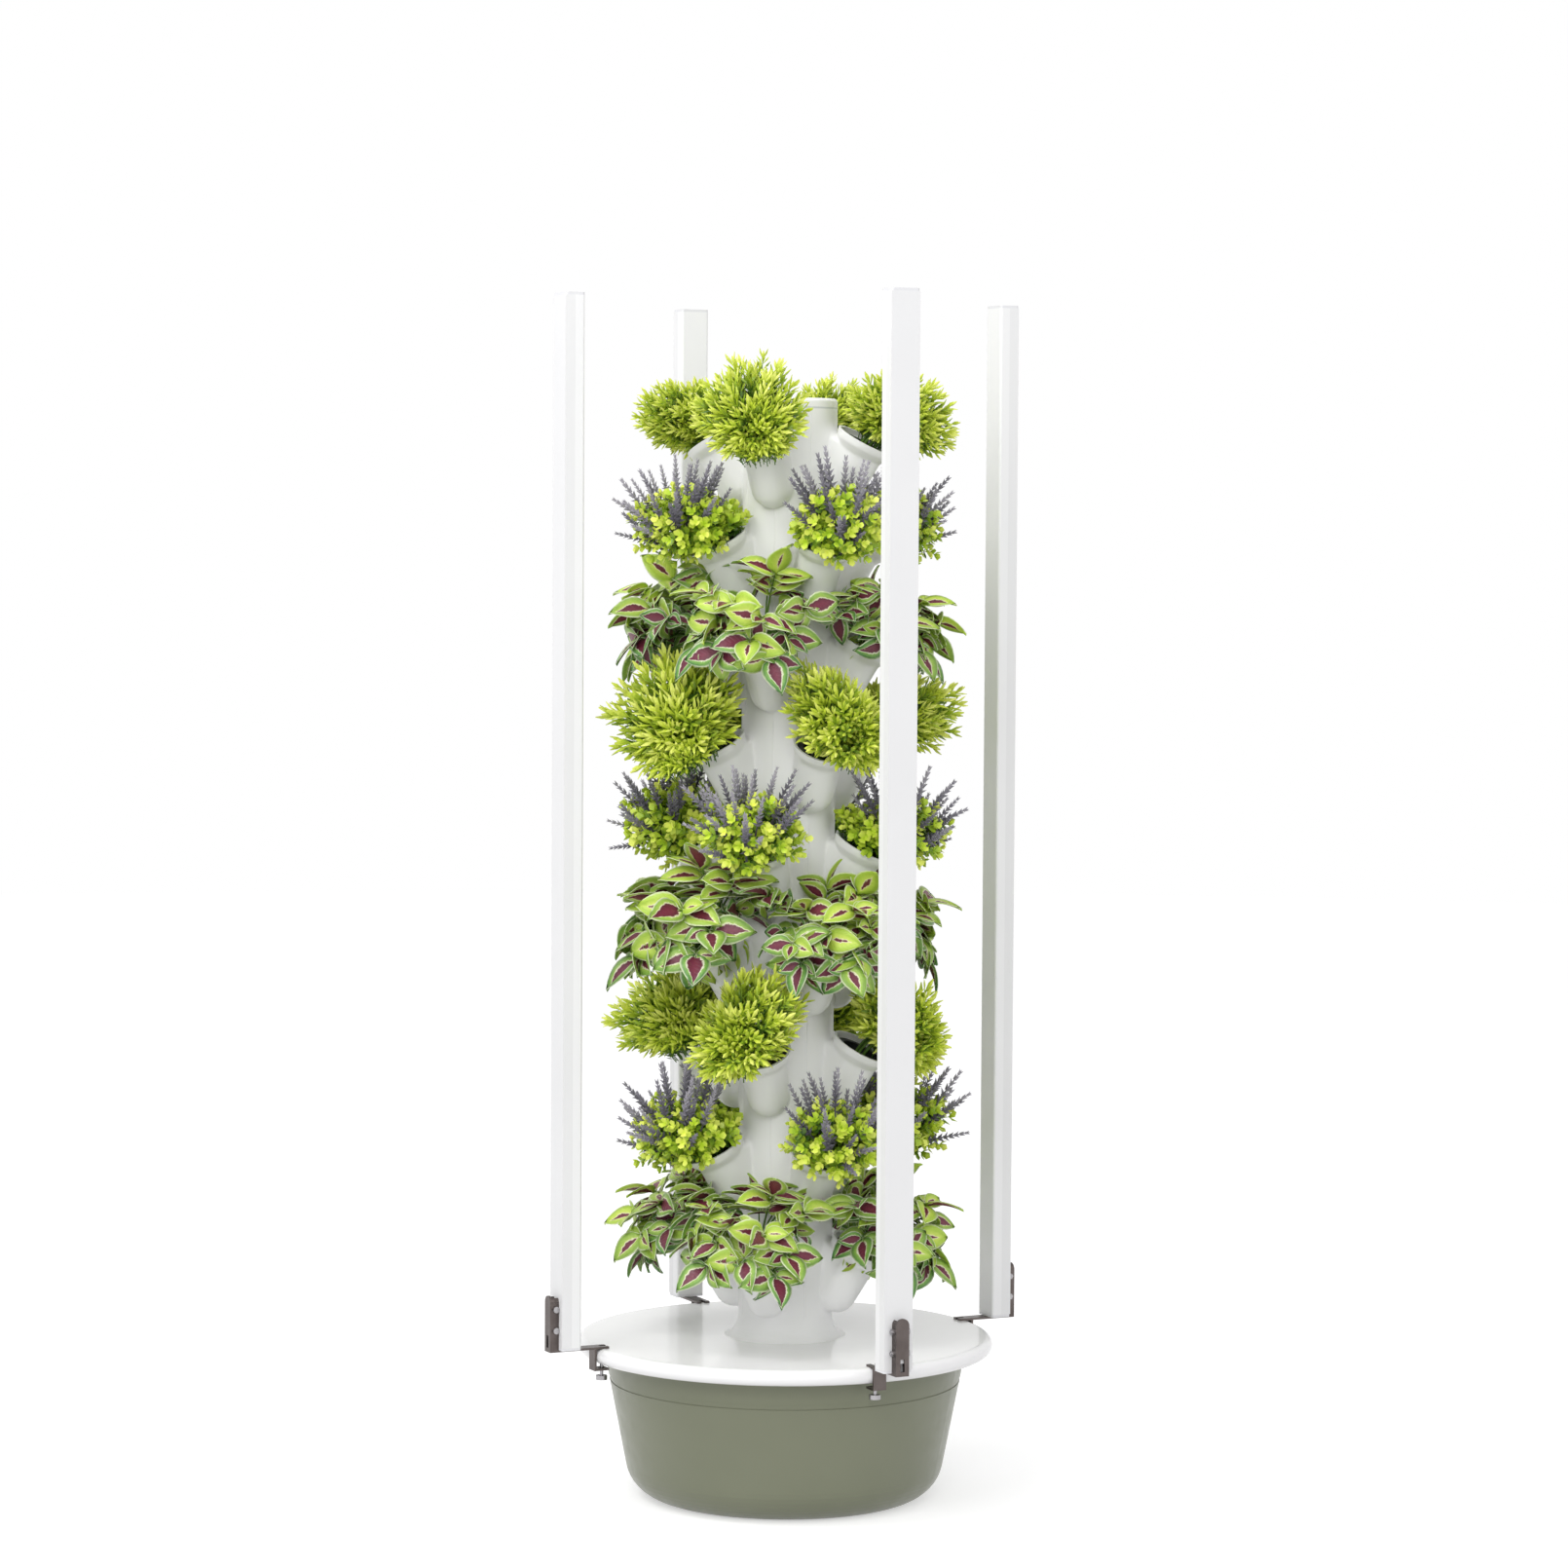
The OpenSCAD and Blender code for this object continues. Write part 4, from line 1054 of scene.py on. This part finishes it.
def arching_stem(rng, i):
    """How far a stem leans, and its points at the lip, the bend and the end."""
    lean = math.radians(8 + 84 * math.sqrt((i + 0.5) / stem_count))
    a = i * golden_turn + rng.uniform(-0.25, 0.25)
    side = level * math.cos(a) + across * math.sin(a)
    way = (mouth_normal * math.cos(lean) + side * math.sin(lean) + outwards).normalized()
    lip = mouth + side * rng.uniform(0.004, 0.012) + mouth_normal * stem_rise
    arm = rng.uniform(0.027, 0.04) * (0.75 if way.x < -0.1 else 1)
    bend = lip + mouth_normal * stem_rise + way * arm
    sag = Vector((0, 0, -stem_sag * math.sin(lean)))
    return lean, lip, bend, bend + (way + sag).normalized() * arm * 0.9


# %% The leaves of one stem
pairs_and_rosette = ((0.1, 2, 1), (0.45, 2, 1), (0.75, 2, 2), (1.0, 4, 2))
plant_middle = mouth.lerp(heart, 0.6)
to_light = Vector((0.25, 0, 0.45))


def leaves_of_stem(rng, bend, end):
    """Leaves as (kind, matrix, chance): rings are (share of the arm, number of leaves, size)."""
    tangent = (end - bend).normalized()
    cross = tangent.cross(Vector((0, 0, 1))).normalized()
    for share, number, size in pairs_and_rosette:
        point = bend.lerp(end, share)
        for k in range(number):
            swing = math.radians(90 + 360 * k / number + rng.uniform(-18, 18))
            out = (tangent * (0.55 + 0.6 * math.sin(swing) * (number == 4))
                   + cross * math.cos(swing if number == 4 else math.pi * k) * 0.9)
            out += Vector((0, 0, rng.uniform(-0.35, 0.2)))
            outward = (point - plant_middle).normalized() + to_light
            kind = min(2, max(0, size - rng.choice((0, 0, 1, 2))))
            matrix = leaf_place(point, out, outward, rng.uniform(-0.7, 0.7))
            if is_free(matrix @ Vector((0, largest, -0.01)), 0.045):
                yield kind, matrix, rng.random()


# %% Four painted-leaf plants
def painted_plant(name, seed):
    rng = random.Random(seed)
    stems, placed = [], {0: [], 1: [], 2: []}
    for i in range(stem_count):
        lean, lip, bend, end = arching_stem(rng, i)
        root = mouth - mouth_normal * stem_root
        stems.append(stalk("stem", [root, lip, bend, end], 0.0016, 0.0009))
        for kind, matrix, chance in leaves_of_stem(rng, bend, end):
            placed[kind].append((matrix, chance, lean))
    for matrix, chance in [*over_the_rim(rng, 12, over_rim), *in_the_mouth(rng, 26, 0.04, mouth_rise)]:
        placed[rng.choice((0, 1))].append((matrix @ Matrix.Rotation(math.pi / 2, 4, "X")
                                           @ Matrix.Rotation(math.pi, 4, "Z"), chance, 0.6))
    parts = [join("stems", stems)]
    parts[0].data.materials.append(stem_green)
    for kind, some in placed.items():
        for matrix, chance, lean in some:
            leaf = copy_of(leaves[kind], "leaf", matrix)
            mark(leaf, "chance", [chance] * len(leaf.data.vertices))
            mark(leaf, "tip", [min(1, 0.3 * chance + lean * 0.28)] * len(leaf.data.vertices))
            parts.append(leaf)
    return join(name, parts)


painted_plants = [painted_plant(f"painted_{i}", 51 + i) for i in range(4)]
print("one painted-leaf plant:", len(painted_plants[0].data.polygons), "faces")

# %% [markdown]
# ## Planting the tower
# Each plant is a copy of one of its kind, turned a little, joined with its plug and stems and put
# in its pocket. No two plants grow alike, so a few are smaller or larger than the rest, as in the
# photograph. The four plants of the top row ride with the net cups that lift out; all the others
# ride with the tower.

# %% Sizes and kinds
def about(pivot, angle):
    return (Matrix.Translation(pivot) @ Matrix.Rotation(angle, 4, mouth_normal)
            @ Matrix.Translation(-pivot))


sizes = {(1, "a"): 0.88, (1, "b"): 0.76, (1, "c"): 0.8, (1, "d"): 0.87, (3, "a"): 0.92,
         (3, "b"): 0.8, (3, "c"): 1.1, (4, "c"): 1.1, (5, "c"): 1.12, (6, "c"): 1.16, (8, "a"): 1.12}
kinds = [("bush", bushes, 3.1, heart, "bush_leaves"),
         ("lavender", lavenders, 0.35, heart, "lavender_leaves"),
         ("painted", painted_plants, 0.3, mouth, "painted_leaves")]

# %% Thirty-six plants
rng = random.Random(7)
for row in range(1, rows + 1):
    label, models, swing, pivot, slot = kinds[(row - 1) % 3]
    for k in range(4):
        letter = "abcd"[k]
        place = module_place(row) @ quarter(k)
        name = f"{label}_{row}{letter}"
        model = models[(row + k) % len(models)]
        size = sizes.get((row, letter), 1)
        shrink = Matrix.Translation(mouth) @ Matrix.Scale(size, 4) @ Matrix.Translation(-mouth)
        top = copy_of(model, name, place @ shrink @ about(pivot, rng.uniform(-swing, swing)))
        plant = join(name, [top, copy_of(root_block, name, place)])
        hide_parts(f"plant_1{letter}" if row == 1 else f"plants_{row}")
        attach(plant, f"pot_{letter}" if row == 1 else "tower")
for model in [root_block, sprig, twig, spike, *leaves, *bushes, *lavenders, *painted_plants]:
    bpy.data.objects.remove(model)
print("thirty-six plants stand in the tower")

# %% End: clear the selection
clear_selection()
